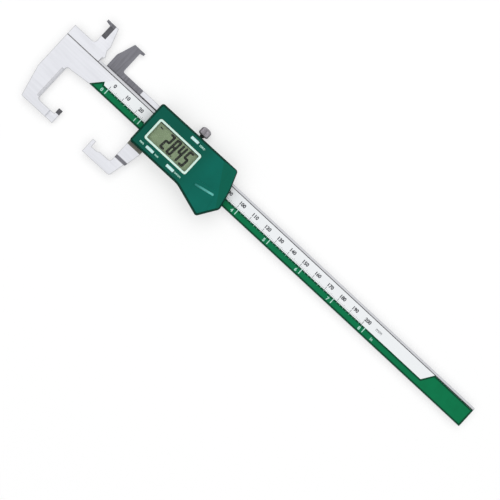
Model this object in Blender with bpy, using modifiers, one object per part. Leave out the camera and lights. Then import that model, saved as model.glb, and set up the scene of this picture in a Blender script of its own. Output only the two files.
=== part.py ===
"""Digital groove caliper that measures 0 to 200 mm, lying on its back with its display up.

Units are metres and +Z is up. X runs along the beam, away from the fixed jaws, and Y runs
across it, towards the short upper jaws. The table is at z = 0, and the origin lies there
under the middle of the outline. Two empties carry the pieces. The beam datum is the zero mark
of the scale, on the beam's lower edge. The slider datum is the slider's reading edge, and the
distance between the two is the reading.
"""

import math

import bmesh
import bpy
from mathutils import Matrix, Vector

# Reading and range of the scale
READING = 0.02845
SCALE_RANGE = 0.200
OVERTRAVEL = 0.001

# Clearances
SLIDE_GAP = 0.0002
CROSSING_GAP = 0.0003
SEAT_GAP = 0.0001
FIT_GAP = 0.00015
POCKET_GAP = 0.0003
FILM_GAP = 0.00003

# Beam, with the two fixed jaws
BEAM_WIDTH = 0.0142
BEAM_THICKNESS = 0.0035
BEAM_BEFORE_ZERO = 0.0386
BEAM_BEYOND_STOP = 0.0102
BEAM_END_RADIUS = 0.0006
LEDGE_WIDTH = 0.0016
LEDGE_STEP = 0.00015
LEDGE_LINE_WIDTH = 0.0003
LEDGE_LINE_DEPTH = 0.0004

# Lower jaws: legs that end in a foot, each foot with a tip that points back to the beam
LOWER_REACH = 0.0311
LOWER_FACE_OFFSET = 0.0135
FIXED_LEG_WIDTH = 0.0125
FIXED_LEG_STRAIGHT = 0.0120
FIXED_LEG_TAPER = 0.0046
FIXED_LEG_HAUNCH_DEPTH = 0.0014
FIXED_LEG_HAUNCH_LENGTH = 0.0031
FIXED_UNDERSIDE_RUN = 0.0156
FIXED_LEG_ROOT_RADIUS = 0.0024
FIXED_LEG_BEVEL_WIDTH = 0.0014
FIXED_LEG_BEVEL_DEPTH = 0.0008
FIXED_FOOT_HEIGHT = 0.0049
FIXED_TIP_WIDTH = 0.0026
FIXED_TIP_LENGTH = 0.0091
FIXED_FOOT_RADIUS = 0.0010
THROAT_RADIUS = 0.0016
FOOT_CROSSING_MARGIN = 0.0006

# Upper jaws: blades that end in a hook which points away from the other blade's face
UPPER_REACH = 0.0202
UPPER_FACE_OFFSET = 0.0269
FIXED_SHOULDER_HEIGHT = 0.0051
FIXED_BLADE_BACK = 0.0237
FIXED_BLADE_FRONT = 0.0154
FIXED_BLADE_TOP_FRONT = 0.0190
FIXED_BLADE_BEND = 0.0097
FIXED_SHOULDER_FRONT = 0.0149
FIXED_BUMP_FRONT = 0.0136
FIXED_BUMP_HEIGHT = 0.0032
FIXED_NECK_HEIGHT = 0.0063
FIXED_SHOULDER_CORNER = 0.0270
FIXED_SHOULDER_RADIUS = 0.0026
HOOK_HEIGHT = 0.0014
HOOK_ROOT_SLOPE = 0.0006
BLADE_POCKET_WIDTH = 0.0029
BLADE_POCKET_DEPTH = 0.0005
BLADE_POCKET_BOTTOM = 0.0108
BLADE_POCKET_TOP_MARGIN = 0.0007

# Scale: the electrode strip in the beam's groove, and the printed film over it
STRIP_GROOVE_MARGIN = 0.0011
STRIP_THICKNESS = 0.0005
STRIP_GROOVE_DEPTH = 0.0006
STRIP_START = 0.0020
STRIP_AFTER_RANGE = 0.0500
FILM_THICKNESS = 0.00015
FILM_EDGE_MARGIN = 0.0002
FILM_LEFT_POINT = 0.0105
FILM_LEFT_SLOPE_RUN = 0.0108

# Slider frame: a back plate with two guide walls, an upper arm and a lower jaw
PLATE_THICKNESS = 0.0016
PLATE_INSET = 0.0004
WALL_TOP_OVER_BEAM = 0.0004
UPPER_WALL_THICKNESS = 0.0034
LOWER_WALL_THICKNESS = 0.0032
UPPER_WALL_SETBACK = 0.0089
LOWER_WALL_SETBACK = 0.0044
WALL_ROOT = 0.0008
ARM_HEIGHT = 0.0031
ARM_RUN_INTO_WALL = 0.0010
ARM_SHADOW_GAP = 0.0001
SLIDER_BLADE_WIDTH = 0.0093
SLIDER_BLADE_HEEL = 0.0091
SLIDER_BLADE_SHOULDER = 0.0119
SLIDER_BLADE_TAPER = 0.0011
SLIDER_BLADE_TOP_TAPER = 0.0039
SLIDER_BLADE_ROOT_RADIUS = 0.0012
SLIDER_LEG_WIDTH = 0.0099
SLIDER_LEG_STRAIGHT = 0.0108
SLIDER_LEG_KNEE = 0.0205
SLIDER_LEG_KNEE_WIDTH = 0.0079
SLIDER_ANKLE_WIDTH = 0.0069
SLIDER_ANKLE = 0.0217
SLIDER_HEEL_WIDTH = 0.0048
SLIDER_HEEL_RADIUS = 0.0016
SLIDER_LEG_ROOT = 0.0018
SLIDER_TIP_WIDTH = 0.0024
SLIDER_TIP_LENGTH = 0.0094
SLIDER_TOE_HEIGHT = 0.0055
SLIDER_FOOT_HEIGHT = 0.0065
SLIDER_TOE_LENGTH = 0.0082
SLIDER_TOE_RAMP = 0.0018
LEG_GROOVE_TOP = 0.0189
LEG_GROOVE_WIDTH = 0.0019
LEG_GROOVE_DEPTH = 0.0006

# Gib: the brass strip that takes up the play above the beam, with its two set screws
GIB_THICKNESS = 0.0006
GIB_HEIGHT = 0.0029
GIB_END_MARGIN = 0.0015
GIB_SCREW_RADIUS = 0.0010
GIB_SCREW_LENGTH = 0.0026
GIB_SCREW_START = 0.0150
GIB_SCREW_SETBACK = 0.0100
GIB_SLOT_WIDTH = 0.0004
GIB_SLOT_DEPTH = 0.0005

# Lock screw above the display
LOCK_PLACE = 0.02885
LOCK_STEM_RADIUS = 0.00085
LOCK_HEAD_RADIUS = 0.0033
LOCK_HEAD_LENGTH = 0.0052
LOCK_HEAD_CHAMFER = 0.0009
LOCK_COLLAR_RADIUS = 0.0015
LOCK_COLLAR_LENGTH = 0.0006
LOCK_HEAD_STANDOFF = 0.0018

# Housing: the moulded cover over the display, the circuit and the battery
HOUSING_TOP_WALL = 0.0016
HOUSING_SIDE_WALL = 0.0014
HOUSING_BEYOND_WALL = 0.0022
HOUSING_BELOW_KEYS = 0.0040
HOUSING_TOP_RISE = 0.0006
NOSE_BEYOND_CELL = 0.0133
NOSE_BELOW_BEAM = 0.0022
FLANK_SETBACK = 0.0027
FLANK_HEIGHT = 0.0092
TOP_CORNER_SETBACK = 0.0073
LOBE_START_BEFORE_CELL = 0.0146
LOBE_CORNER_BEYOND_CELL = 0.0055
LOBE_BELOW_CELL = 0.0110
HOUSING_CORNER_RADIUS = 0.0015
HOUSING_END_RADIUS = 0.0016
HOUSING_NOSE_RADIUS = 0.0030
HOUSING_SOFT_RADIUS = 0.0120
HOUSING_RIM_RADIUS = 0.0014
FACET_START_SETBACK = 0.0159
FACET_START_BELOW_TOP = 0.0026
FACET_ANGLE = math.radians(-57.3)
FACET_TILT = math.radians(8.5)

# Screws that hold the cover to the frame, from the back
COVER_SCREW_RADIUS = 0.0009
COVER_SCREW_LENGTH = 0.0105
COVER_SCREW_HEAD_RADIUS = 0.0017
COVER_SCREW_HEAD_HEIGHT = 0.0009
COVER_SCREW_SINK = 0.0001
BOSS_RADIUS = 0.0018
LOWER_BOSS_INSET = 0.0025
UPPER_BOSS_START = 0.0080
UPPER_BOSS_SETBACK = 0.0124

# Display: bezel, window, panel, carrier and connectors
WINDOW_LEFT = 0.00645
WINDOW_LENGTH = 0.0291
WINDOW_BOTTOM = -0.0001
WINDOW_BELOW_BEAM_EDGE = 0.0021
BEZEL_WIDTH = 0.0013
BEZEL_HEIGHT = 0.0008
BEZEL_PROUD = 0.00025
BEZEL_RADIUS = 0.0014
WINDOW_RADIUS = 0.0006
LENS_MARGIN = 0.0007
LENS_THICKNESS = 0.0009
PANEL_THICKNESS = 0.0017
PANEL_BELOW_LENS = 0.0004
CARRIER_WALL = 0.0008
CONNECTOR_WIDTH = 0.0018
CONNECTOR_END_MARGIN = 0.0010

# Circuit board and controller
BOARD_THICKNESS = 0.0012
BOARD_BEFORE_HOLDER = 0.0014
CHIP_LENGTH = 0.0100
CHIP_WIDTH = 0.0070
CHIP_HEIGHT = 0.0012

# Keys, each over its own switch on the board
KEY_LENGTH = 0.0056
KEY_WIDTH = 0.0018
KEY_PROUD = 0.0004
KEY_FLANGE = 0.0006
KEY_FLANGE_THICKNESS = 0.0008
KEY_STEM_WIDTH = 0.0014
KEY_TRAVEL = 0.0004
SWITCH_SIDE = 0.0026
SWITCH_HEIGHT = 0.0018
KEYS_BELOW_WINDOW = 0.0040
ZERO_KEY_BELOW_TOP = 0.0033
UNITS_KEY_AFTER_LEFT = 0.0060
POWER_KEY_BEFORE_RIGHT = 0.0076
ZERO_KEY_BEFORE_RIGHT = 0.0079
SWITCH_NAMES = {"units_key": "units_switch", "power_key": "power_switch", "zero_key": "zero_switch"}

# Battery: a button cell in its holder, under a cover that slides off the lobe
CELL_RADIUS = 0.0058
CELL_HEIGHT = 0.0053
CELL_HEADROOM = 0.0005
CELL_AFTER_WINDOW = 0.01605
CELL_BELOW_BEAM = 0.0033
CELL_RIM_RADIUS = 0.0004
HOLDER_WALL = 0.0008
HOLDER_FLOOR = 0.0007
CONTACT_THICKNESS = 0.0002
CONTACT_SPREAD = math.radians(50.0)
CONTACT_WIDTH = 0.0030
RIDGE_BEFORE_CELL = 0.0010
RIDGE_ABOVE_CELL = 0.0035
RIDGE_ANGLE = math.radians(11.9)
RIDGE_LENGTH = 0.0125
RIDGE_WIDTH = 0.0014
RIDGE_HEIGHT = 0.0005
DOOR_WIDTH = 0.0136
DOOR_ABOVE_RIDGE = 0.0030
DOOR_TONGUE = 0.0006
DOOR_TONGUE_THICKNESS = 0.0006

# End stop under the beam's far end
STOP_LENGTH = 0.0080
STOP_THICKNESS = 0.0014
STOP_SIDE_MARGIN = 0.0015
STOP_SCREW_RADIUS = 0.0008
STOP_SCREW_HEAD_RADIUS = 0.0015
STOP_SCREW_HEAD_HEIGHT = 0.0007
STOP_SCREW_LENGTH = 0.0030
STOP_SCREW_SINK = 0.0001
STOP_SCREW_EDGE = 0.0021

# Heights that follow from the sizes above
BEAM_BACK = PLATE_THICKNESS + SLIDE_GAP
BEAM_FRONT = BEAM_BACK + BEAM_THICKNESS
BEAM_MIDDLE = (BEAM_BACK + BEAM_FRONT) / 2
REAR_HALF_TOP = BEAM_MIDDLE - CROSSING_GAP / 2
FRONT_HALF_BOTTOM = BEAM_MIDDLE + CROSSING_GAP / 2
WALL_TOP = BEAM_FRONT + WALL_TOP_OVER_BEAM
BOARD_BOTTOM = WALL_TOP + POCKET_GAP
BOARD_TOP = BOARD_BOTTOM + BOARD_THICKNESS
HOLDER_BOTTOM = WALL_TOP + POCKET_GAP
CONTACT_BOTTOM = HOLDER_BOTTOM + HOLDER_FLOOR + SEAT_GAP
CELL_BOTTOM = CONTACT_BOTTOM + CONTACT_THICKNESS + SEAT_GAP
CELL_TOP = CELL_BOTTOM + CELL_HEIGHT
HOUSING_BOTTOM = PLATE_THICKNESS + POCKET_GAP
CAVITY_TOP = CELL_TOP + CELL_HEADROOM
HOUSING_HEIGHT = CAVITY_TOP + HOUSING_TOP_WALL
SLOT_TOP = WALL_TOP + POCKET_GAP
BEZEL_TOP = HOUSING_HEIGHT + BEZEL_PROUD
BEZEL_BOTTOM = BEZEL_TOP - BEZEL_HEIGHT
LENS_TOP = BEZEL_BOTTOM - SEAT_GAP
LENS_BOTTOM = LENS_TOP - LENS_THICKNESS
PANEL_TOP = LENS_BOTTOM - PANEL_BELOW_LENS
PANEL_BOTTOM = PANEL_TOP - PANEL_THICKNESS
KEY_TOP = HOUSING_HEIGHT + KEY_PROUD
KEY_FLANGE_TOP = CAVITY_TOP - POCKET_GAP
KEY_FLANGE_BOTTOM = KEY_FLANGE_TOP - KEY_FLANGE_THICKNESS
SWITCH_TOP = BOARD_TOP + SEAT_GAP + SWITCH_HEIGHT
KEY_STEM_BOTTOM = SWITCH_TOP + SEAT_GAP + KEY_TRAVEL
DOOR_BOTTOM = CAVITY_TOP + SEAT_GAP / 2

# Places that follow from the sizes above
LOWER_BOTTOM = -LOWER_REACH
UPPER_TOP = BEAM_WIDTH + UPPER_REACH
LEDGE_EDGE = BEAM_WIDTH - LEDGE_WIDTH
WALL_INNER = BEAM_WIDTH + GIB_THICKNESS + 2 * SEAT_GAP
WALL_OUTER = WALL_INNER + UPPER_WALL_THICKNESS
WALL_MIDDLE = (WALL_INNER + WALL_OUTER) / 2
WINDOW_RIGHT = WINDOW_LEFT + WINDOW_LENGTH
WINDOW_TOP = BEAM_WIDTH - WINDOW_BELOW_BEAM_EDGE
HOLDER_RADIUS = CELL_RADIUS + CONTACT_THICKNESS + 2 * SEAT_GAP + HOLDER_WALL
CELL_X = WINDOW_RIGHT + CELL_AFTER_WINDOW
CELL_Y = -CELL_BELOW_BEAM
RIDGE_X = CELL_X - RIDGE_BEFORE_CELL
RIDGE_Y = CELL_Y + RIDGE_ABOVE_CELL
NOSE_X = CELL_X + NOSE_BEYOND_CELL
LOBE_CORNER_X = CELL_X + LOBE_CORNER_BEYOND_CELL
LOBE_BOTTOM = CELL_Y - LOBE_BELOW_CELL
LOBE_START = CELL_X - LOBE_START_BEFORE_CELL
KEY_ROW = WINDOW_BOTTOM - KEYS_BELOW_WINDOW
HOUSING_EDGE = KEY_ROW - HOUSING_BELOW_KEYS
HOUSING_TOP = WALL_OUTER + HOUSING_BEYOND_WALL
KEY_PLACES = {
    "units_key": (WINDOW_LEFT + UNITS_KEY_AFTER_LEFT, KEY_ROW),
    "power_key": (WINDOW_RIGHT - POWER_KEY_BEFORE_RIGHT, KEY_ROW),
    "zero_key": (WINDOW_RIGHT - ZERO_KEY_BEFORE_RIGHT, HOUSING_TOP - ZERO_KEY_BELOW_TOP),
}
UPPER_WALL_END = NOSE_X - UPPER_WALL_SETBACK
LOWER_WALL_END = NOSE_X - LOWER_WALL_SETBACK
GIB_SCREW_PLACES = (GIB_SCREW_START, UPPER_WALL_END - GIB_SCREW_SETBACK)
LOWER_BOSS_PLACES = ((KEY_PLACES["units_key"][0] + KEY_PLACES["power_key"][0]) / 2, LOBE_START)
UPPER_BOSS_PLACES = (UPPER_BOSS_START, NOSE_X - UPPER_BOSS_SETBACK)
ARM_BOTTOM = WALL_INNER + ARM_SHADOW_GAP
ARM_TOP = ARM_BOTTOM + ARM_HEIGHT
ARM_STEP = -FIXED_BUMP_FRONT + CROSSING_GAP
SLIDER_BLADE_LEFT = -BEAM_BEFORE_ZERO
FIXED_TIP_FRONT = -LOWER_FACE_OFFSET + FIXED_TIP_WIDTH
SLIDER_TOE = -LOWER_FACE_OFFSET - SLIDER_TIP_WIDTH
FIXED_CROSSING_START = SLIDER_TOE - FOOT_CROSSING_MARGIN
STOP_START = NOSE_X + SCALE_RANGE + OVERTRAVEL
BEAM_AFTER_ZERO = STOP_START + STOP_LENGTH + BEAM_BEYOND_STOP
MIDDLE_X = (BEAM_AFTER_ZERO - BEAM_BEFORE_ZERO) / 2
MIDDLE_Y = (UPPER_TOP + LOWER_BOTTOM) / 2

# How finely curves are divided
ARC_STEP = math.radians(20.0)
ROUND_STEPS = 24
SMALL_STEPS = 16
MERGE = 0.000002
THROUGH = 0.002


class Caliper:
    """The collections and the two datums that the pieces are placed on."""

    def __init__(self):
        self.parts = bpy.data.collections.new("digital_groove_caliper")
        self.cutters = bpy.data.collections.new("caliper_cutters")
        for collection in (self.parts, self.cutters):
            bpy.context.scene.collection.children.link(collection)
        self.beam = self.datum("beam_datum", (-MIDDLE_X, -MIDDLE_Y, 0.0), None)
        self.slider = self.datum("slider_datum", (READING, 0.0, 0.0), self.beam)

    def datum(self, name, location, parent):
        empty = bpy.data.objects.new(name, None)
        empty.empty_display_size = 0.01
        empty.location = location
        empty.parent = parent
        self.parts.objects.link(empty)
        return empty


def clear_scene():
    for obj in list(bpy.data.objects):
        bpy.data.objects.remove(obj, do_unlink=True)


def material(name, color, roughness, metallic=0.0, alpha=1.0):
    """A Principled BSDF material."""
    found = bpy.data.materials.get(name)
    if found:
        return found
    made = bpy.data.materials.new(name)
    made.use_nodes = True
    shader = made.node_tree.nodes["Principled BSDF"]
    shader.inputs["Base Color"].default_value = (*color, 1.0)
    shader.inputs["Roughness"].default_value = roughness
    shader.inputs["Metallic"].default_value = metallic
    shader.inputs["Alpha"].default_value = alpha
    return made


def arc_corner(before, corner, after, radius):
    """The points that round one corner of an outline, the radius limited by its two sides."""
    to_before = (before - corner).normalized()
    to_after = (after - corner).normalized()
    half = to_before.angle(to_after) / 2
    shorter = min((before - corner).length, (after - corner).length)
    radius = min(radius, 0.49 * shorter * math.tan(half))
    reach = radius / math.tan(half)
    centre = corner + (to_before + to_after).normalized() * radius / math.sin(half)
    start = corner + to_before * reach - centre
    turn = math.pi - 2 * half
    steps = max(2, math.ceil(turn / ARC_STEP))
    sign = 1.0 if (corner - before).cross(after - corner) > 0 else -1.0
    points = []
    for step in range(steps + 1):
        angle = sign * turn * step / steps
        turned_x = start.x * math.cos(angle) - start.y * math.sin(angle)
        turned_y = start.x * math.sin(angle) + start.y * math.cos(angle)
        points.append(centre + Vector((turned_x, turned_y)))
    return points


def rounded(corners):
    """An outline's points, from corners given as (x, y) or (x, y, radius)."""
    places = [Vector(corner[:2]) for corner in corners]
    points = []
    for index, corner in enumerate(corners):
        if len(corner) < 3 or corner[2] <= 0:
            points.append(places[index])
            continue
        before = places[index - 1]
        after = places[(index + 1) % len(places)]
        points.extend(arc_corner(before, places[index], after, corner[2]))
    return points


def inset(corners, distance):
    """The corners of an anticlockwise outline, with each side moved inwards."""
    places = [Vector(corner[:2]) for corner in corners]
    moved = []
    for index, corner in enumerate(corners):
        here = places[index]
        along_in = (here - places[index - 1]).normalized()
        along_out = (places[(index + 1) % len(places)] - here).normalized()
        normal_in = Vector((-along_in.y, along_in.x))
        normal_out = Vector((-along_out.y, along_out.x))
        miter = (normal_in + normal_out).normalized()
        place = here + miter * distance / miter.dot(normal_in)
        convex = along_in.cross(along_out) > 0
        radius = corner[2] if len(corner) > 2 else 0.0
        radius = radius - distance if convex else radius + distance
        moved.append((place.x, place.y, max(radius, 0.0)))
    return moved


def rectangle(left, right, bottom, top, radius=0.0):
    return [(left, bottom, radius), (right, bottom, radius), (right, top, radius), (left, top, radius)]


def finish(obj, collection, parent, look=None):
    """Puts an object in its collection, under its datum, with its material."""
    collection.objects.link(obj)
    obj.parent = parent
    if look:
        obj.data.materials.append(look)
    else:
        obj.hide_render = True
        obj.display_type = "WIRE"
    return obj


def plate(name, corners, bottom, top):
    """A flat outline with thickness, as a mesh object without a collection."""
    curve = bpy.data.curves.new(name, "CURVE")
    curve.dimensions = "2D"
    curve.fill_mode = "BOTH"
    curve.extrude = (top - bottom) / 2
    spline = curve.splines.new("POLY")
    points = rounded(corners)
    spline.points.add(len(points) - 1)
    for target, point in zip(spline.points, points):
        target.co = (point.x, point.y, 0.0, 1.0)
    spline.use_cyclic_u = True
    drawn = bpy.data.objects.new(name + "_outline", curve)
    bpy.context.scene.collection.objects.link(drawn)
    drawn.location.z = (top + bottom) / 2
    depsgraph = bpy.context.evaluated_depsgraph_get()
    mesh = bpy.data.meshes.new_from_object(drawn.evaluated_get(depsgraph))
    mesh.name = name
    build = bmesh.new()
    build.from_mesh(mesh)
    bmesh.ops.remove_doubles(build, verts=build.verts, dist=MERGE)
    bmesh.ops.dissolve_limit(build, angle_limit=math.radians(0.5), verts=build.verts, edges=build.edges)
    bmesh.ops.recalc_face_normals(build, faces=build.faces)
    build.to_mesh(mesh)
    build.free()
    solid = bpy.data.objects.new(name, mesh)
    solid.matrix_world = drawn.matrix_world
    bpy.data.objects.remove(drawn, do_unlink=True)
    bpy.data.curves.remove(curve)
    return solid


def box(name, low, high):
    """A box between two corners, with its origin in its middle."""
    size = Vector(high) - Vector(low)
    mesh = bpy.data.meshes.new(name)
    build = bmesh.new()
    bmesh.ops.create_cube(build, size=1.0)
    bmesh.ops.scale(build, vec=size, verts=build.verts)
    build.to_mesh(mesh)
    build.free()
    solid = bpy.data.objects.new(name, mesh)
    solid.location = (Vector(low) + Vector(high)) / 2
    return solid


def rod(name, radius, start, end, steps=SMALL_STEPS):
    """A cylinder between two points."""
    start = Vector(start)
    end = Vector(end)
    mesh = bpy.data.meshes.new(name)
    build = bmesh.new()
    bmesh.ops.create_cone(build, cap_ends=True, segments=steps, radius1=radius, radius2=radius,
                          depth=(end - start).length)
    build.to_mesh(mesh)
    build.free()
    solid = bpy.data.objects.new(name, mesh)
    solid.location = (start + end) / 2
    solid.rotation_euler = (end - start).to_track_quat("Z", "Y").to_euler()
    mesh.set_sharp_from_angle(angle=math.radians(40.0))
    return solid


def turned(name, profile, location, axis, steps=ROUND_STEPS):
    """A turned piece from (radius, height) pairs, top to bottom, about an axis through location."""
    mesh = bpy.data.meshes.new(name)
    build = bmesh.new()
    line = [build.verts.new((radius, 0.0, height)) for radius, height in profile]
    for upper, lower in zip(line, line[1:]):
        build.edges.new((upper, lower))
    build.to_mesh(mesh)
    build.free()
    solid = bpy.data.objects.new(name, mesh)
    solid.location = location
    solid.rotation_euler = Vector(axis).to_track_quat("Z", "Y").to_euler()
    screw = solid.modifiers.new("turn", "SCREW")
    screw.axis = "Z"
    screw.steps = steps
    screw.render_steps = steps
    screw.use_merge_vertices = True
    screw.merge_threshold = MERGE
    screw.use_smooth_shade = False
    return solid


def combine(target, tool, operation):
    boolean = target.modifiers.new(tool.name, "BOOLEAN")
    boolean.operation = operation
    boolean.solver = "EXACT"
    boolean.object = tool
    return target


def cut(caliper, target, parent, *tools):
    for tool in tools:
        combine(target, finish(tool, caliper.cutters, parent), "DIFFERENCE")


def join(caliper, target, parent, *tools):
    for tool in tools:
        combine(target, finish(tool, caliper.cutters, parent), "UNION")


def round_rim(obj, height, radius, segments):
    """Rounds the edges of a plate that lie at one height."""
    build = bmesh.new()
    build.from_mesh(obj.data)
    local = height - obj.location.z
    rim = [edge for edge in build.edges
           if len(edge.link_faces) == 2
           and all(abs(vert.co.z - local) < MERGE for vert in edge.verts)
           and any(abs(face.normal.z) < 0.5 for face in edge.link_faces)]
    bmesh.ops.bevel(build, geom=rim, offset=radius, segments=segments, profile=0.5, affect="EDGES",
                    material=-1)
    build.to_mesh(obj.data)
    build.free()


def steel():
    return material("brushed_steel", (0.78, 0.80, 0.83), 0.32, 1.0)


def dark_steel():
    return material("ground_steel", (0.55, 0.56, 0.58), 0.4, 1.0)


def teal_plastic():
    return material("teal_plastic", (0.005, 0.14, 0.10), 0.35)


def pale_plastic():
    return material("pale_plastic", (0.62, 0.85, 0.74), 0.4)


def white_plastic():
    return material("white_plastic", (0.85, 0.87, 0.85), 0.45)


def black_plastic():
    return material("black_plastic", (0.02, 0.02, 0.02), 0.5)


def circuit_green():
    return material("circuit_laminate", (0.02, 0.16, 0.07), 0.5)


def beam_outline():
    """The beam with both fixed jaws, anticlockwise from the far end of its upper edge."""
    left = -BEAM_BEFORE_ZERO
    inner = left + FIXED_LEG_WIDTH
    foot_top = LOWER_BOTTOM + FIXED_FOOT_HEIGHT
    tip_top = LOWER_BOTTOM + FIXED_TIP_LENGTH
    shoulder = BEAM_WIDTH + FIXED_SHOULDER_HEIGHT
    hook_bottom = UPPER_TOP - HOOK_HEIGHT
    return [
        (BEAM_AFTER_ZERO, BEAM_WIDTH, BEAM_END_RADIUS),
        (-FIXED_SHOULDER_FRONT, BEAM_WIDTH),
        (-FIXED_BUMP_FRONT, BEAM_WIDTH + FIXED_BUMP_HEIGHT, CROSSING_GAP),
        (-FIXED_BLADE_FRONT, BEAM_WIDTH + FIXED_NECK_HEIGHT),
        (-FIXED_BLADE_FRONT, BEAM_WIDTH + FIXED_BLADE_BEND),
        (-FIXED_BLADE_TOP_FRONT, UPPER_TOP),
        (-UPPER_FACE_OFFSET, UPPER_TOP),
        (-UPPER_FACE_OFFSET, hook_bottom),
        (-FIXED_BLADE_BACK, hook_bottom - HOOK_ROOT_SLOPE),
        (-FIXED_BLADE_BACK, shoulder, FIXED_SHOULDER_RADIUS),
        (-FIXED_SHOULDER_CORNER, shoulder),
        (left, shoulder),
        (left, -FIXED_LEG_STRAIGHT),
        (left + FIXED_LEG_TAPER, LOWER_BOTTOM, FIXED_FOOT_RADIUS),
        (FIXED_TIP_FRONT, LOWER_BOTTOM),
        (FIXED_TIP_FRONT, tip_top),
        (-LOWER_FACE_OFFSET, tip_top),
        (-LOWER_FACE_OFFSET, foot_top),
        (inner, foot_top, THROAT_RADIUS),
        (inner, -FIXED_LEG_HAUNCH_DEPTH, FIXED_LEG_ROOT_RADIUS),
        (inner + FIXED_LEG_HAUNCH_LENGTH, -FIXED_LEG_HAUNCH_DEPTH),
        (inner + FIXED_UNDERSIDE_RUN, 0.0),
        (BEAM_AFTER_ZERO, 0.0, BEAM_END_RADIUS),
    ]


def make_beam(caliper):
    """Beam, fixed lower jaw at full thickness and fixed upper jaw in its front half."""
    beam = plate("beam", beam_outline(), BEAM_BACK, BEAM_FRONT)
    finish(beam, caliper.parts, caliper.beam, steel())
    left = -BEAM_BEFORE_ZERO
    inner = left + FIXED_LEG_WIDTH
    above = BEAM_FRONT + THROUGH
    behind_jaw = box("behind_fixed_jaw", (left - THROUGH, BEAM_WIDTH, BEAM_BACK - THROUGH),
                     (-FIXED_BUMP_FRONT + CROSSING_GAP, UPPER_TOP + THROUGH, FRONT_HALF_BOTTOM))
    before_foot = box("before_fixed_foot", (FIXED_CROSSING_START, LOWER_BOTTOM - THROUGH, REAR_HALF_TOP),
                      (FIXED_TIP_FRONT + THROUGH, LOWER_BOTTOM + FIXED_TIP_LENGTH + THROUGH, above))
    pocket_top = UPPER_TOP - BLADE_POCKET_TOP_MARGIN
    blade_pocket = box("blade_pocket",
                       (-FIXED_BLADE_BACK - THROUGH, BEAM_WIDTH + BLADE_POCKET_BOTTOM,
                        BEAM_FRONT - BLADE_POCKET_DEPTH),
                       (-FIXED_BLADE_BACK + BLADE_POCKET_WIDTH, pocket_top, above))
    ledge = box("ledge", (-FIXED_SHOULDER_FRONT, LEDGE_EDGE, BEAM_FRONT - LEDGE_STEP),
                (BEAM_AFTER_ZERO + THROUGH, BEAM_WIDTH + THROUGH, above))
    line = box("ledge_line", (left - THROUGH, LEDGE_EDGE - LEDGE_LINE_WIDTH / 2, BEAM_FRONT - LEDGE_LINE_DEPTH),
               (BEAM_AFTER_ZERO + THROUGH, LEDGE_EDGE + LEDGE_LINE_WIDTH / 2, above))
    strip_groove = box("strip_groove",
                       (STRIP_START - FIT_GAP, STRIP_GROOVE_MARGIN - FIT_GAP, BEAM_FRONT - STRIP_GROOVE_DEPTH),
                       (SCALE_RANGE + STRIP_AFTER_RANGE + FIT_GAP,
                        LEDGE_EDGE - STRIP_GROOVE_MARGIN + FIT_GAP, above))
    cut(caliper, beam, caliper.beam, behind_jaw, before_foot, blade_pocket, ledge, line, strip_groove)
    bevel_slope = math.atan2(FIXED_LEG_BEVEL_DEPTH, FIXED_LEG_BEVEL_WIDTH)
    bevel_cutter = box("leg_bevel", (-BEAM_THICKNESS, LOWER_BOTTOM + FIXED_FOOT_HEIGHT + THROAT_RADIUS, 0.0),
                       (BEAM_THICKNESS, -FIXED_LEG_HAUNCH_DEPTH - FIXED_LEG_ROOT_RADIUS, BEAM_THICKNESS))
    turn = Matrix.Rotation(bevel_slope, 4, "Y")
    place = Matrix.Translation((inner - FIXED_LEG_BEVEL_WIDTH, 0.0, BEAM_FRONT))
    bevel_cutter.matrix_world = place @ turn @ bevel_cutter.matrix_basis
    cut(caliper, beam, caliper.beam, bevel_cutter)
    for place_y in stop_screw_places():
        hole = rod("stop_screw_hole", STOP_SCREW_RADIUS + SEAT_GAP,
                   (STOP_START + STOP_LENGTH / 2, place_y, BEAM_BACK - THROUGH),
                   (STOP_START + STOP_LENGTH / 2, place_y, stop_screw_tip() + POCKET_GAP))
        cut(caliper, beam, caliper.beam, hole)


def make_scale(caliper):
    """The electrode strip in the beam's groove and the printed film over it."""
    groove_floor = BEAM_FRONT - STRIP_GROOVE_DEPTH
    corners = rectangle(STRIP_START, SCALE_RANGE + STRIP_AFTER_RANGE, STRIP_GROOVE_MARGIN,
                        LEDGE_EDGE - STRIP_GROOVE_MARGIN)
    strip = plate("electrode_strip", corners, groove_floor + FILM_GAP,
                  groove_floor + FILM_GAP + STRIP_THICKNESS)
    finish(strip, caliper.parts, caliper.beam, circuit_green())
    right = BEAM_AFTER_ZERO - FILM_EDGE_MARGIN
    top = LEDGE_EDGE - FILM_EDGE_MARGIN
    film_corners = [
        (-FILM_LEFT_POINT, FILM_EDGE_MARGIN),
        (right, FILM_EDGE_MARGIN),
        (right, top),
        (-FILM_LEFT_POINT + FILM_LEFT_SLOPE_RUN, top),
    ]
    film_bottom = BEAM_FRONT + FILM_GAP
    film = plate("scale_film", film_corners, film_bottom, film_bottom + FILM_THICKNESS)
    finish(film, caliper.parts, caliper.beam, material("scale_print", (0.01, 0.15, 0.07), 0.4))


def stop_screw_places():
    edge = STOP_SIDE_MARGIN + STOP_SCREW_EDGE
    return [edge, BEAM_WIDTH - edge]


def stop_bottom():
    return BEAM_BACK - FILM_GAP - STOP_THICKNESS


def stop_screw_tip():
    return stop_bottom() + STOP_SCREW_SINK + STOP_SCREW_LENGTH


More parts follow.
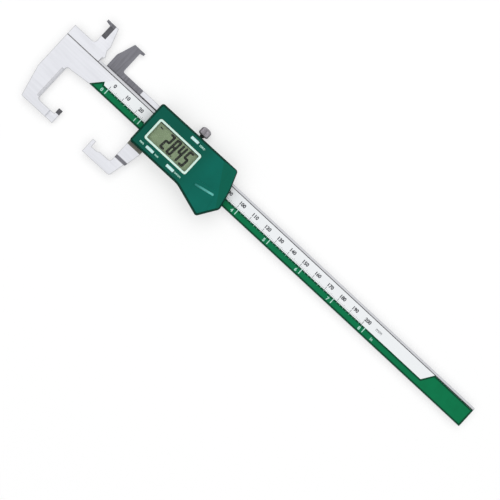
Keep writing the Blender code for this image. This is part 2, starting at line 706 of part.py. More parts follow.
def make_end_stop(caliper):
    """The plate under the beam that stops the slider, with its two screws."""
    corners = rectangle(STOP_START, STOP_START + STOP_LENGTH, STOP_SIDE_MARGIN,
                        BEAM_WIDTH - STOP_SIDE_MARGIN, BEAM_END_RADIUS)
    stop = plate("end_stop", corners, stop_bottom(), BEAM_BACK - FILM_GAP)
    finish(stop, caliper.parts, caliper.beam, steel())
    middle = STOP_START + STOP_LENGTH / 2
    for number, place_y in enumerate(stop_screw_places(), 1):
        head_bottom = stop_bottom() + STOP_SCREW_SINK
        shank = rod("stop_shank_hole", STOP_SCREW_RADIUS + SEAT_GAP, (middle, place_y, stop_bottom() - THROUGH),
                    (middle, place_y, BEAM_BACK + THROUGH))
        seat = rod("stop_head_seat", STOP_SCREW_HEAD_RADIUS + FIT_GAP,
                   (middle, place_y, stop_bottom() - THROUGH),
                   (middle, place_y, head_bottom + STOP_SCREW_HEAD_HEIGHT + FILM_GAP))
        cut(caliper, stop, caliper.beam, shank, seat)
        profile = screw_profile(STOP_SCREW_HEAD_RADIUS, STOP_SCREW_HEAD_HEIGHT, STOP_SCREW_RADIUS,
                                STOP_SCREW_LENGTH)
        screw = turned(f"end_stop_screw_{number}", profile, (middle, place_y, head_bottom), (0, 0, 1),
                       SMALL_STEPS)
        finish(screw, caliper.parts, caliper.beam, dark_steel())


def screw_profile(head_radius, head_height, shank_radius, length):
    """A flat-headed screw that stands on its head, from its tip down to its head."""
    tip = shank_radius / 2
    return [(0.0, length), (tip, length), (shank_radius, length - tip), (shank_radius, head_height),
            (head_radius, head_height), (head_radius, 0.0), (0.0, 0.0)]


def housing_corners():
    """The housing's outline, anticlockwise from its lower left corner."""
    return [
        (0.0, HOUSING_EDGE, HOUSING_CORNER_RADIUS),
        (LOBE_START, HOUSING_EDGE, HOUSING_SOFT_RADIUS),
        (LOBE_CORNER_X, LOBE_BOTTOM, HOUSING_END_RADIUS),
        (NOSE_X, -NOSE_BELOW_BEAM, HOUSING_NOSE_RADIUS),
        (NOSE_X - FLANK_SETBACK, FLANK_HEIGHT, HOUSING_SOFT_RADIUS),
        (NOSE_X - TOP_CORNER_SETBACK, HOUSING_TOP + HOUSING_TOP_RISE, HOUSING_END_RADIUS),
        (0.0, HOUSING_TOP, HOUSING_CORNER_RADIUS),
    ]


def upper_arm_outline():
    """The arm over the beam and the slider's upper jaw, anticlockwise."""
    blade_right = SLIDER_BLADE_LEFT + SLIDER_BLADE_WIDTH
    hook_bottom = UPPER_TOP - HOOK_HEIGHT
    heel = BEAM_WIDTH + SLIDE_GAP
    return [
        (SLIDER_BLADE_LEFT, heel),
        (ARM_RUN_INTO_WALL, heel),
        (ARM_RUN_INTO_WALL, ARM_TOP),
        (blade_right, ARM_TOP, SLIDER_BLADE_ROOT_RADIUS),
        (blade_right, hook_bottom - HOOK_ROOT_SLOPE),
        (-UPPER_FACE_OFFSET, hook_bottom),
        (-UPPER_FACE_OFFSET, UPPER_TOP),
        (SLIDER_BLADE_LEFT + SLIDER_BLADE_TOP_TAPER, UPPER_TOP),
        (SLIDER_BLADE_LEFT + SLIDER_BLADE_TAPER, BEAM_WIDTH + SLIDER_BLADE_SHOULDER),
        (SLIDER_BLADE_LEFT, BEAM_WIDTH + SLIDER_BLADE_HEEL),
    ]


def lower_jaw_outline():
    """The slider's lower jaw, anticlockwise from the root of its leg."""
    foot_top = LOWER_BOTTOM + SLIDER_FOOT_HEIGHT
    toe_top = LOWER_BOTTOM + SLIDER_TOE_HEIGHT
    tip_top = LOWER_BOTTOM + SLIDER_TIP_LENGTH
    toe_end = SLIDER_TOE + SLIDER_TOE_LENGTH
    return [
        (0.0, -SLIDER_LEG_ROOT),
        (0.0, foot_top, THROAT_RADIUS),
        (toe_end, foot_top),
        (toe_end - SLIDER_TOE_RAMP, toe_top),
        (-LOWER_FACE_OFFSET, toe_top),
        (-LOWER_FACE_OFFSET, tip_top),
        (SLIDER_TOE, tip_top),
        (SLIDER_TOE, LOWER_BOTTOM),
        (SLIDER_HEEL_WIDTH, LOWER_BOTTOM, SLIDER_HEEL_RADIUS),
        (SLIDER_ANKLE_WIDTH, -SLIDER_ANKLE),
        (SLIDER_LEG_KNEE_WIDTH, -SLIDER_LEG_KNEE),
        (SLIDER_LEG_WIDTH, -SLIDER_LEG_STRAIGHT),
        (SLIDER_LEG_WIDTH, -SLIDER_LEG_ROOT),
    ]


def make_slider_frame(caliper):
    """Back plate, guide walls, upper arm with its jaw, and lower jaw, as one piece."""
    parent = caliper.slider
    frame = plate("slider_frame", inset(housing_corners(), PLATE_INSET), 0.0, PLATE_THICKNESS)
    finish(frame, caliper.parts, parent, steel())
    upper_wall = box("upper_wall", (0.0, WALL_INNER, WALL_ROOT), (UPPER_WALL_END, WALL_OUTER, WALL_TOP))
    lower_wall = box("lower_wall", (0.0, -SLIDE_GAP / 2 - LOWER_WALL_THICKNESS, WALL_ROOT),
                     (LOWER_WALL_END, -SLIDE_GAP / 2, WALL_TOP))
    arm = plate("upper_arm", upper_arm_outline(), BEAM_BACK, BEAM_FRONT)
    jaw = plate("lower_jaw", lower_jaw_outline()[::-1], BEAM_BACK, BEAM_FRONT)
    join(caliper, frame, parent, upper_wall, lower_wall, arm, jaw)
    above = BEAM_FRONT + THROUGH
    before_arm = box("before_arm", (SLIDER_BLADE_LEFT - THROUGH, BEAM_WIDTH, REAR_HALF_TOP),
                     (ARM_STEP, UPPER_TOP + THROUGH, above))
    arm_rabbet = box("arm_rabbet", (ARM_STEP - THROUGH, BEAM_WIDTH, REAR_HALF_TOP),
                     (ARM_RUN_INTO_WALL + THROUGH, ARM_BOTTOM, above))
    toe_end = SLIDER_TOE + SLIDER_TOE_LENGTH
    behind_toe = box("behind_toe", (SLIDER_TOE - THROUGH, LOWER_BOTTOM - THROUGH, BEAM_BACK - THROUGH),
                     (toe_end, LOWER_BOTTOM + SLIDER_TIP_LENGTH + THROUGH, FRONT_HALF_BOTTOM))
    groove_bottom = -LEG_GROOVE_TOP - LEG_GROOVE_WIDTH
    leg_groove = box("leg_groove", (-THROUGH, groove_bottom, BEAM_FRONT - LEG_GROOVE_DEPTH),
                     (SLIDER_LEG_WIDTH + THROUGH, -LEG_GROOVE_TOP, above))
    cut(caliper, frame, parent, before_arm, arm_rabbet, behind_toe, leg_groove)
    for place_x, place_y in cover_screw_places():
        shank = rod("cover_shank_hole", COVER_SCREW_RADIUS + FIT_GAP, (place_x, place_y, -THROUGH),
                    (place_x, place_y, WALL_TOP + THROUGH))
        seat = rod("cover_head_seat", COVER_SCREW_HEAD_RADIUS + FIT_GAP, (place_x, place_y, -THROUGH),
                   (place_x, place_y, COVER_SCREW_SINK + COVER_SCREW_HEAD_HEIGHT + FILM_GAP))
        cut(caliper, frame, parent, shank, seat)
    for place_x, radius in gib_and_lock_holes():
        hole = rod("wall_hole", radius + FIT_GAP, (place_x, WALL_INNER - THROUGH / 2, BEAM_MIDDLE),
                   (place_x, WALL_OUTER + THROUGH, BEAM_MIDDLE))
        cut(caliper, frame, parent, hole)


def gib_and_lock_holes():
    holes = [(place_x, GIB_SCREW_RADIUS) for place_x in GIB_SCREW_PLACES]
    holes.append((LOCK_PLACE, LOCK_STEM_RADIUS))
    return holes


def cover_screw_places():
    lower = [(place_x, HOUSING_EDGE + LOWER_BOSS_INSET) for place_x in LOWER_BOSS_PLACES]
    upper = [(place_x, WALL_MIDDLE) for place_x in UPPER_BOSS_PLACES]
    return lower + upper


def make_gib(caliper):
    """The brass strip between the beam and the upper wall, with its set screws."""
    bottom = BEAM_WIDTH + SEAT_GAP
    corners = rectangle(GIB_END_MARGIN, UPPER_WALL_END - GIB_END_MARGIN, bottom, bottom + GIB_THICKNESS)
    gib = plate("gib_strip", corners, BEAM_MIDDLE - GIB_HEIGHT / 2, BEAM_MIDDLE + GIB_HEIGHT / 2)
    brass = material("brass", (0.72, 0.53, 0.22), 0.35, 1.0)
    finish(gib, caliper.parts, caliper.slider, brass)
    for number, place_x in enumerate(GIB_SCREW_PLACES, 1):
        start = WALL_INNER + SEAT_GAP
        screw = rod(f"gib_screw_{number}", GIB_SCREW_RADIUS, (place_x, start, BEAM_MIDDLE),
                    (place_x, start + GIB_SCREW_LENGTH, BEAM_MIDDLE), SMALL_STEPS)
        finish(screw, caliper.parts, caliper.slider, dark_steel())
        end = start + GIB_SCREW_LENGTH
        reach = GIB_SCREW_RADIUS + THROUGH
        slot = box("gib_screw_slot",
                   (place_x - reach, end - GIB_SLOT_DEPTH, BEAM_MIDDLE - GIB_SLOT_WIDTH / 2),
                   (place_x + reach, end + THROUGH, BEAM_MIDDLE + GIB_SLOT_WIDTH / 2))
        cut(caliper, screw, caliper.slider, slot)


def make_lock_screw(caliper):
    """The screw with a knurled head that clamps the slider, its origin on its own axis."""
    head_start = HOUSING_TOP + LOCK_HEAD_STANDOFF - WALL_INNER - SEAT_GAP
    head_end = head_start + LOCK_HEAD_LENGTH
    collar = head_start - LOCK_COLLAR_LENGTH
    profile = [
        (0.0, head_end),
        (LOCK_HEAD_RADIUS - LOCK_HEAD_CHAMFER, head_end),
        (LOCK_HEAD_RADIUS, head_end - LOCK_HEAD_CHAMFER),
        (LOCK_HEAD_RADIUS, head_start + LOCK_HEAD_CHAMFER),
        (LOCK_HEAD_RADIUS - LOCK_HEAD_CHAMFER, head_start),
        (LOCK_COLLAR_RADIUS, head_start),
        (LOCK_COLLAR_RADIUS, collar),
        (LOCK_STEM_RADIUS, collar),
        (LOCK_STEM_RADIUS, 0.0),
        (0.0, 0.0),
    ]
    screw = turned("lock_screw", profile, (LOCK_PLACE, WALL_INNER + SEAT_GAP, BEAM_MIDDLE), (0, 1, 0))
    finish(screw, caliper.parts, caliper.slider, steel())


def housing_body(name):
    """The housing's outer form, before it is hollowed."""
    body = plate(name, housing_corners(), HOUSING_BOTTOM, HOUSING_HEIGHT)
    round_rim(body, HOUSING_HEIGHT, HOUSING_RIM_RADIUS, 3)
    return body


def facet_cutter(name):
    """The slab above the sloping facet of the housing's right end."""
    side = NOSE_X
    slab = box(name, (-side / 2, 0.0, 0.0), (side / 2, side / 2, side / 4))
    tilt = Matrix.Rotation(-FACET_TILT, 4, "X")
    turn = Matrix.Rotation(FACET_ANGLE, 4, "Z")
    start = (NOSE_X - FACET_START_SETBACK, HOUSING_TOP - FACET_START_BELOW_TOP, HOUSING_HEIGHT)
    slab.matrix_world = Matrix.Translation(start) @ turn @ tilt @ slab.matrix_basis
    return slab


def door_frame():
    """The frame of the battery cover: X along its ridge, -Y the way it slides."""
    return Matrix.Translation((RIDGE_X, RIDGE_Y, 0.0)) @ Matrix.Rotation(RIDGE_ANGLE, 4, "Z")


def in_door_frame(obj):
    obj.matrix_world = door_frame() @ obj.matrix_basis
    return obj


def door_box(name, half_width, low_z, high_z, top):
    """A box across the battery cover's place, open towards the lobe's edge."""
    return in_door_frame(box(name, (-half_width, 2 * LOBE_BOTTOM, low_z), (half_width, top, high_z)))


def key_hole(name, place, grow, low_z, high_z):
    left = place[0] - KEY_LENGTH / 2 - grow
    right = place[0] + KEY_LENGTH / 2 + grow
    bottom = place[1] - KEY_WIDTH / 2 - grow
    top = place[1] + KEY_WIDTH / 2 + grow
    return box(name, (left, bottom, low_z), (right, top, high_z))


def window_corners(grow, radius):
    return rectangle(WINDOW_LEFT - grow, WINDOW_RIGHT + grow, WINDOW_BOTTOM - grow, WINDOW_TOP + grow, radius)


def make_housing_cover(caliper):
    """The moulded cover: a shell with bosses, a window, three key holes and the battery opening."""
    parent = caliper.slider
    cover = housing_body("housing_cover")
    finish(cover, caliper.parts, parent, teal_plastic())
    cut(caliper, cover, parent, facet_cutter("cover_facet"))
    cavity = plate("housing_cavity", inset(housing_corners(), HOUSING_SIDE_WALL), HOUSING_BOTTOM - THROUGH,
                   CAVITY_TOP)
    cut(caliper, cover, parent, cavity)
    for number, (place_x, place_y) in enumerate(cover_screw_places()):
        boss_bottom = HOUSING_BOTTOM if place_y < 0 else WALL_TOP + POCKET_GAP
        boss = rod("boss", BOSS_RADIUS, (place_x, place_y, boss_bottom),
                   (place_x, place_y, CAVITY_TOP + HOUSING_TOP_WALL / 4))
        join(caliper, cover, parent, boss)
        hole = rod("boss_hole", COVER_SCREW_RADIUS + SEAT_GAP, (place_x, place_y, boss_bottom - THROUGH),
                   (place_x, place_y, COVER_SCREW_LENGTH + 2 * POCKET_GAP), SMALL_STEPS)
        cut(caliper, cover, parent, hole)
    left_slot = box("left_slot", (-THROUGH, HOUSING_EDGE - THROUGH, 0.0),
                    (HOUSING_SIDE_WALL + THROUGH / 4, WALL_OUTER + POCKET_GAP, SLOT_TOP))
    wall_below = -SLIDE_GAP / 2 - LOWER_WALL_THICKNESS
    right_slot = box("right_slot", (LOWER_WALL_END - 2 * HOUSING_SIDE_WALL, wall_below - POCKET_GAP, 0.0),
                     (NOSE_X + THROUGH, BEAM_WIDTH + POCKET_GAP, SLOT_TOP))
    leg_slot = box("leg_slot", (-THROUGH, HOUSING_EDGE - THROUGH, 0.0),
                   (SLIDER_LEG_WIDTH + POCKET_GAP, HOUSING_EDGE + HOUSING_SIDE_WALL + THROUGH / 4,
                    BEAM_FRONT + POCKET_GAP))
    cut(caliper, cover, parent, left_slot, right_slot, leg_slot)
    for place_x, radius in gib_and_lock_holes():
        hole = rod("side_hole", radius + POCKET_GAP, (place_x, WALL_OUTER, BEAM_MIDDLE),
                   (place_x, HOUSING_TOP + HOUSING_TOP_RISE + THROUGH, BEAM_MIDDLE), SMALL_STEPS)
        cut(caliper, cover, parent, hole)
    above = HOUSING_HEIGHT + THROUGH
    recess = plate("bezel_recess", window_corners(BEZEL_WIDTH + FIT_GAP, BEZEL_RADIUS + FIT_GAP),
                   BEZEL_BOTTOM - FILM_GAP, above)
    opening = plate("window_opening", window_corners(LENS_MARGIN + FIT_GAP, WINDOW_RADIUS),
                    CAVITY_TOP - THROUGH / 2, above)
    cut(caliper, cover, parent, recess, opening)
    for name, place in KEY_PLACES.items():
        cut(caliper, cover, parent,
            key_hole(name + "_hole", place, FIT_GAP, CAVITY_TOP - THROUGH / 2, above))
    door_top = DOOR_ABOVE_RIDGE + FIT_GAP
    door_opening = door_box("door_opening", DOOR_WIDTH / 2 + FIT_GAP, CAVITY_TOP - SEAT_GAP, above, door_top)
    tongue_groove = door_box("tongue_groove", DOOR_WIDTH / 2 + DOOR_TONGUE + FIT_GAP, CAVITY_TOP - SEAT_GAP,
                             DOOR_BOTTOM + DOOR_TONGUE_THICKNESS + FIT_GAP, door_top)
    cut(caliper, cover, parent, door_opening, tongue_groove)


def make_battery_cover(caliper):
    """The cover that slides off the lobe: the housing's own skin, with tongues and a ridge."""
    parent = caliper.slider
    above = HOUSING_HEIGHT + THROUGH
    door = box("battery_cover", (-DOOR_WIDTH / 2, 2 * LOBE_BOTTOM, DOOR_BOTTOM),
               (DOOR_WIDTH / 2, DOOR_ABOVE_RIDGE, above))
    door.matrix_world = door_frame() @ door.matrix_basis
    finish(door, caliper.parts, parent, teal_plastic())
    tongues = door_box("door_tongues", DOOR_WIDTH / 2 + DOOR_TONGUE, DOOR_BOTTOM,
                       DOOR_BOTTOM + DOOR_TONGUE_THICKNESS, DOOR_ABOVE_RIDGE)
    join(caliper, door, parent, tongues)
    skin = housing_body("door_skin")
    combine(door, finish(skin, caliper.cutters, parent), "INTERSECT")
    cut(caliper, door, parent, facet_cutter("door_facet"))
    ridge = in_door_frame(box("door_ridge",
                              (-RIDGE_LENGTH / 2, -RIDGE_WIDTH / 2, HOUSING_HEIGHT - RIDGE_HEIGHT),
                              (RIDGE_LENGTH / 2, RIDGE_WIDTH / 2, HOUSING_HEIGHT + RIDGE_HEIGHT)))
    round_rim_of_box(ridge, RIDGE_HEIGHT * 0.8)
    join(caliper, door, parent, ridge)


def round_rim_of_box(obj, radius):
    """Rounds the top edges of a box."""
    build = bmesh.new()
    build.from_mesh(obj.data)
    top = max(vert.co.z for vert in build.verts)
    rim = [edge for edge in build.edges if all(top - vert.co.z < MERGE for vert in edge.verts)]
    bmesh.ops.bevel(build, geom=rim, offset=radius, segments=2, profile=0.5, affect="EDGES", material=-1)
    build.to_mesh(obj.data)
    build.free()


def make_cover_screws(caliper):
    """Four screws from the back, through the frame into the cover's bosses."""
    profile = screw_profile(COVER_SCREW_HEAD_RADIUS, COVER_SCREW_HEAD_HEIGHT, COVER_SCREW_RADIUS,
                            COVER_SCREW_LENGTH)
    for number, (place_x, place_y) in enumerate(cover_screw_places(), 1):
        screw = turned(f"cover_screw_{number}", profile, (place_x, place_y, COVER_SCREW_SINK), (0, 0, 1),
                       SMALL_STEPS)
        finish(screw, caliper.parts, caliper.slider, dark_steel())


def make_display(caliper):
    """Bezel, window, panel, carrier and the two rubber connectors under the panel."""
    parent = caliper.slider
    bezel = plate("display_bezel", window_corners(BEZEL_WIDTH, BEZEL_RADIUS), BEZEL_BOTTOM, BEZEL_TOP)
    finish(bezel, caliper.parts, parent, pale_plastic())
    opening = plate("bezel_opening", window_corners(0.0, WINDOW_RADIUS), BEZEL_BOTTOM - THROUGH,
                    BEZEL_TOP + THROUGH)
    cut(caliper, bezel, parent, opening)
    lens = plate("display_window", window_corners(LENS_MARGIN, WINDOW_RADIUS), LENS_BOTTOM, LENS_TOP)
    clear = material("clear_window", (0.9, 0.95, 0.9), 0.08, 0.0, 0.35)
    finish(lens, caliper.parts, parent, clear)
    panel = plate("display_panel", window_corners(LENS_MARGIN, 0.0), PANEL_BOTTOM, PANEL_TOP)
    finish(panel, caliper.parts, parent, material("display_glass", (0.30, 0.34, 0.19), 0.25))
    inner_grow = LENS_MARGIN + FIT_GAP
    carrier = plate("display_carrier", window_corners(inner_grow + CARRIER_WALL, WINDOW_RADIUS),
                    BOARD_TOP + SEAT_GAP, PANEL_TOP)
    finish(carrier, caliper.parts, parent, white_plastic())
    inside = plate("carrier_opening", window_corners(inner_grow, 0.0), BOARD_TOP - THROUGH,
                   PANEL_TOP + THROUGH)
    cut(caliper, carrier, parent, inside)
    left = WINDOW_LEFT - LENS_MARGIN + CONNECTOR_END_MARGIN
    right = WINDOW_RIGHT + LENS_MARGIN - CONNECTOR_END_MARGIN
    lowest = WINDOW_BOTTOM - LENS_MARGIN + FIT_GAP
    highest = WINDOW_TOP + LENS_MARGIN - FIT_GAP
    rows = {"lower_connector": (lowest, lowest + CONNECTOR_WIDTH),
            "upper_connector": (highest - CONNECTOR_WIDTH, highest)}
    for name, (bottom, top) in rows.items():
        strip = box(name, (left, bottom, BOARD_TOP + SEAT_GAP), (right, top, PANEL_BOTTOM - SEAT_GAP))
        finish(strip, caliper.parts, parent, material("connector_rubber", (0.6, 0.25, 0.22), 0.8))


def make_board(caliper):
    """The circuit board over the beam, notched around the cover's bosses, with its controller."""
    parent = caliper.slider
    margin = HOUSING_SIDE_WALL + 2 * POCKET_GAP
    right = CELL_X - HOLDER_RADIUS - BOARD_BEFORE_HOLDER
    corners = rectangle(margin, right, HOUSING_EDGE + margin, HOUSING_TOP - margin)
    board = plate("circuit_board", corners, BOARD_BOTTOM, BOARD_TOP)
    finish(board, caliper.parts, parent, circuit_green())
    for place_x, place_y in cover_screw_places():
        if place_x < right + BOSS_RADIUS:
            notch = rod("boss_notch", BOSS_RADIUS + POCKET_GAP, (place_x, place_y, BOARD_BOTTOM - THROUGH),
                        (place_x, place_y, BOARD_TOP + THROUGH))
            cut(caliper, board, parent, notch)
    middle_x = (WINDOW_LEFT + WINDOW_RIGHT) / 2
    middle_y = (WINDOW_BOTTOM + WINDOW_TOP) / 2
    bottom = BOARD_TOP + SEAT_GAP
    chip = box("controller_chip", (middle_x - CHIP_LENGTH / 2, middle_y - CHIP_WIDTH / 2, bottom),
               (middle_x + CHIP_LENGTH / 2, middle_y + CHIP_WIDTH / 2, bottom + CHIP_HEIGHT))
    finish(chip, caliper.parts, parent, black_plastic())


def make_keys(caliper):
    """The three keys, each with a flange under the cover and a stem over its switch."""
    parent = caliper.slider
    for name, place in KEY_PLACES.items():
        key = key_hole(name, place, 0.0, KEY_FLANGE_TOP - KEY_FLANGE_THICKNESS / 2, KEY_TOP)
        finish(key, caliper.parts, parent, white_plastic())
        flange = key_hole(name + "_flange", place, KEY_FLANGE, KEY_FLANGE_BOTTOM, KEY_FLANGE_TOP)
        half = KEY_STEM_WIDTH / 2
        stem = box(name + "_stem", (place[0] - half, place[1] - half, KEY_STEM_BOTTOM),
                   (place[0] + half, place[1] + half, KEY_FLANGE_BOTTOM + KEY_FLANGE_THICKNESS / 2))
        join(caliper, key, parent, flange, stem)
        switch = box(SWITCH_NAMES[name],
                     (place[0] - SWITCH_SIDE / 2, place[1] - SWITCH_SIDE / 2, BOARD_TOP + SEAT_GAP),
                     (place[0] + SWITCH_SIDE / 2, place[1] + SWITCH_SIDE / 2, SWITCH_TOP))
        finish(switch, caliper.parts, parent, black_plastic())


def contact_outline():
    """A short arc that bears on the side of the cell."""
    inner = CELL_RADIUS + SEAT_GAP
    outer = inner + CONTACT_THICKNESS
    steps = 6
    angles = [math.pi / 2 - CONTACT_SPREAD / 2 + CONTACT_SPREAD * step / steps for step in range(steps + 1)]
    outside = [(CELL_X + outer * math.cos(angle), CELL_Y + outer * math.sin(angle)) for angle in angles]
    inside = [(CELL_X + inner * math.cos(angle), CELL_Y + inner * math.sin(angle)) for angle in angles]
    return outside + inside[::-1]


def make_battery(caliper):
    """The button cell, its holder and its two contacts."""
    parent = caliper.slider
    centre = (CELL_X, CELL_Y)
    outer = HOLDER_RADIUS
    inner = outer - HOLDER_WALL
    floor = HOLDER_BOTTOM + HOLDER_FLOOR
    holder = turned("battery_holder",
                    [(outer, CELL_TOP - POCKET_GAP), (outer, HOLDER_BOTTOM), (0.0, HOLDER_BOTTOM), (0.0, floor),
                     (inner, floor), (inner, CELL_TOP - POCKET_GAP), (outer, CELL_TOP - POCKET_GAP)],
                    (*centre, 0.0), (0, 0, 1))
    finish(holder, caliper.parts, parent, black_plastic())
    rim = CELL_RADIUS - CELL_RIM_RADIUS
    cell = turned("button_cell",
                  [(0.0, CELL_TOP), (rim, CELL_TOP), (CELL_RADIUS, CELL_TOP - CELL_RIM_RADIUS),
                   (CELL_RADIUS, CELL_BOTTOM + CELL_RIM_RADIUS), (rim, CELL_BOTTOM), (0.0, CELL_BOTTOM)],
                  (*centre, 0.0), (0, 0, 1))
    finish(cell, caliper.parts, parent, steel())
    plate_half = CELL_RADIUS - CONTACT_WIDTH / 2
    lower = box("lower_contact", (CELL_X - plate_half, CELL_Y - CONTACT_WIDTH / 2, CONTACT_BOTTOM),
                (CELL_X + plate_half, CELL_Y + CONTACT_WIDTH / 2, CONTACT_BOTTOM + CONTACT_THICKNESS))
    finish(lower, caliper.parts, parent, material("contact_metal", (0.75, 0.72, 0.6), 0.3, 1.0))
    side = plate("side_contact", contact_outline(), CELL_BOTTOM + CONTACT_WIDTH / 4,
                 CELL_BOTTOM + CONTACT_WIDTH / 4 + CONTACT_WIDTH)
    finish(side, caliper.parts, parent, material("contact_metal", (0.75, 0.72, 0.6), 0.3, 1.0))


def main():
    clear_scene()
    caliper = Caliper()
    make_beam(caliper)
    make_scale(caliper)
    make_end_stop(caliper)
    make_slider_frame(caliper)
    make_gib(caliper)
    make_lock_screw(caliper)
    make_housing_cover(caliper)
    make_battery_cover(caliper)
    make_cover_screws(caliper)
    make_display(caliper)
    make_board(caliper)
    make_keys(caliper)
    make_battery(caliper)


main()
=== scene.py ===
"""Finished surfaces of a digital groove caliper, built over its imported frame.

The file is laid out as an add-on: the sizes and colours are properties, each piece or group of
like pieces has its operator, and a panel lists them. Outlines are in millimetres from the
scale's zero mark on the beam, or from the slider's reading edge, and become metres when built.
"""

import math

import bmesh
import bpy
from bpy.props import FloatProperty, FloatVectorProperty, IntProperty, PointerProperty, StringProperty
from mathutils import Matrix, Vector


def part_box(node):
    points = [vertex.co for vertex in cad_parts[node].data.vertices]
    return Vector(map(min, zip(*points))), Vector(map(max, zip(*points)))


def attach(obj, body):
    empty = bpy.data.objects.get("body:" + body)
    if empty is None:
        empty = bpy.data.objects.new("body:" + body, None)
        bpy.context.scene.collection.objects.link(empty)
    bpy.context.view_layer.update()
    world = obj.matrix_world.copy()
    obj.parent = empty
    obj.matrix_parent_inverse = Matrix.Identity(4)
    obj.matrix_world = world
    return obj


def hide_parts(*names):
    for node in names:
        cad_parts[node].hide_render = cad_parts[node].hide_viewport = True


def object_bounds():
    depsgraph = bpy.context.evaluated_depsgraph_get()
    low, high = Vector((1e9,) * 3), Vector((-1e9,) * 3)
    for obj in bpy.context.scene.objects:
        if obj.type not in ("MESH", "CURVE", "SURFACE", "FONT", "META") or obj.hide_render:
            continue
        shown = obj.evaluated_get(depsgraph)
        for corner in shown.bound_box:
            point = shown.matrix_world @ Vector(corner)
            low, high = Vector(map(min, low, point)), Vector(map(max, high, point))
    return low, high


bl_info = {
    "name": "Digital groove caliper",
    "version": (1, 0, 0),
    "blender": (4, 5, 0),
    "location": "3D View > Sidebar > Caliper",
    "description": "Models the finished surfaces of a digital groove caliper over its frame",
    "category": "Add Mesh",
}

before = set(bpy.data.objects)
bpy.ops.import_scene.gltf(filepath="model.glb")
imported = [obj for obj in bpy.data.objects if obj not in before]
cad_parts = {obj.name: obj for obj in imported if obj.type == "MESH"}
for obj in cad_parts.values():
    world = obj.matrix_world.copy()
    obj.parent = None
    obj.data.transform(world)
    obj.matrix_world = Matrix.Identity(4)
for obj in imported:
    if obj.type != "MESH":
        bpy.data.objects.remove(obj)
FRAME_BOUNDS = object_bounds()

MM = 0.001
MERGE = 0.000001
FLAT = math.radians(1.0)

# Where the two datums lie: the scale's zero mark, and the slider's reading edge
ZERO_AFTER_BEAM_END = 38.6
FILM_ABOVE_ZERO = 0.2
BEAM_LOW, BEAM_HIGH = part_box("beam")
COVER_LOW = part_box("housing_cover")[0]
FILM_LOW, FILM_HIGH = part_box("scale_film")
ZERO_MARK = Vector((BEAM_LOW.x + ZERO_AFTER_BEAM_END * MM, FILM_LOW.y - FILM_ABOVE_ZERO * MM, 0.0))
READING_EDGE = Vector((COVER_LOW.x, ZERO_MARK.y, 0.0))


def length(name, description, default, precision=5):
    """A length property, in metres."""
    return FloatProperty(name=name, description=description, default=default, min=0.0, unit="LENGTH",
                         precision=precision)


class CaliperSizes(bpy.types.PropertyGroup):
    """Sizes that a user would change, in metres."""

    steel_edge: length("Steel edge", "Rounding of the steel's edges", 0.00022)
    rim_width: length("Rim width", "Width of the sloping rim of the housing's top", 0.0012)
    rim_fall: length("Rim fall", "How far the sloping rim drops to the side wall", 0.0026)
    ink_thickness: length("Ink thickness", "How far the print stands on the film", 0.00002, 6)
    tick_width: length("Mark width", "Width of the scale's marks", 0.00014)
    number_height: length("Number height", "Height of the scale's numbers", 0.0024)
    label_height: length("Label height", "Height of the letters beside the keys", 0.0012)
    digit_height: length("Digit height", "Height of the display's digits", 0.0092)
    digit_stroke: length("Digit stroke", "Width of the display's bars", 0.00145)
    knurl_teeth: IntProperty(name="Knurl teeth", description="Ridges round the lock screw's head",
                             default=40, min=8)
    reading: StringProperty(name="Reading", description="What the display shows", default="28.45")


def colour(name, description, value):
    """A colour property, its value written as the finished surface shows it, 0 to 255."""
    linear = [channel_to_linear(channel / 255.0) for channel in value]
    return FloatVectorProperty(name=name, description=description, default=linear, size=3,
                               min=0.0, max=1.0, subtype="COLOR")


def channel_to_linear(value):
    """One channel of a colour, from its shown value to its linear value."""
    return value / 12.92 if value <= 0.04045 else ((value + 0.055) / 1.055) ** 2.4


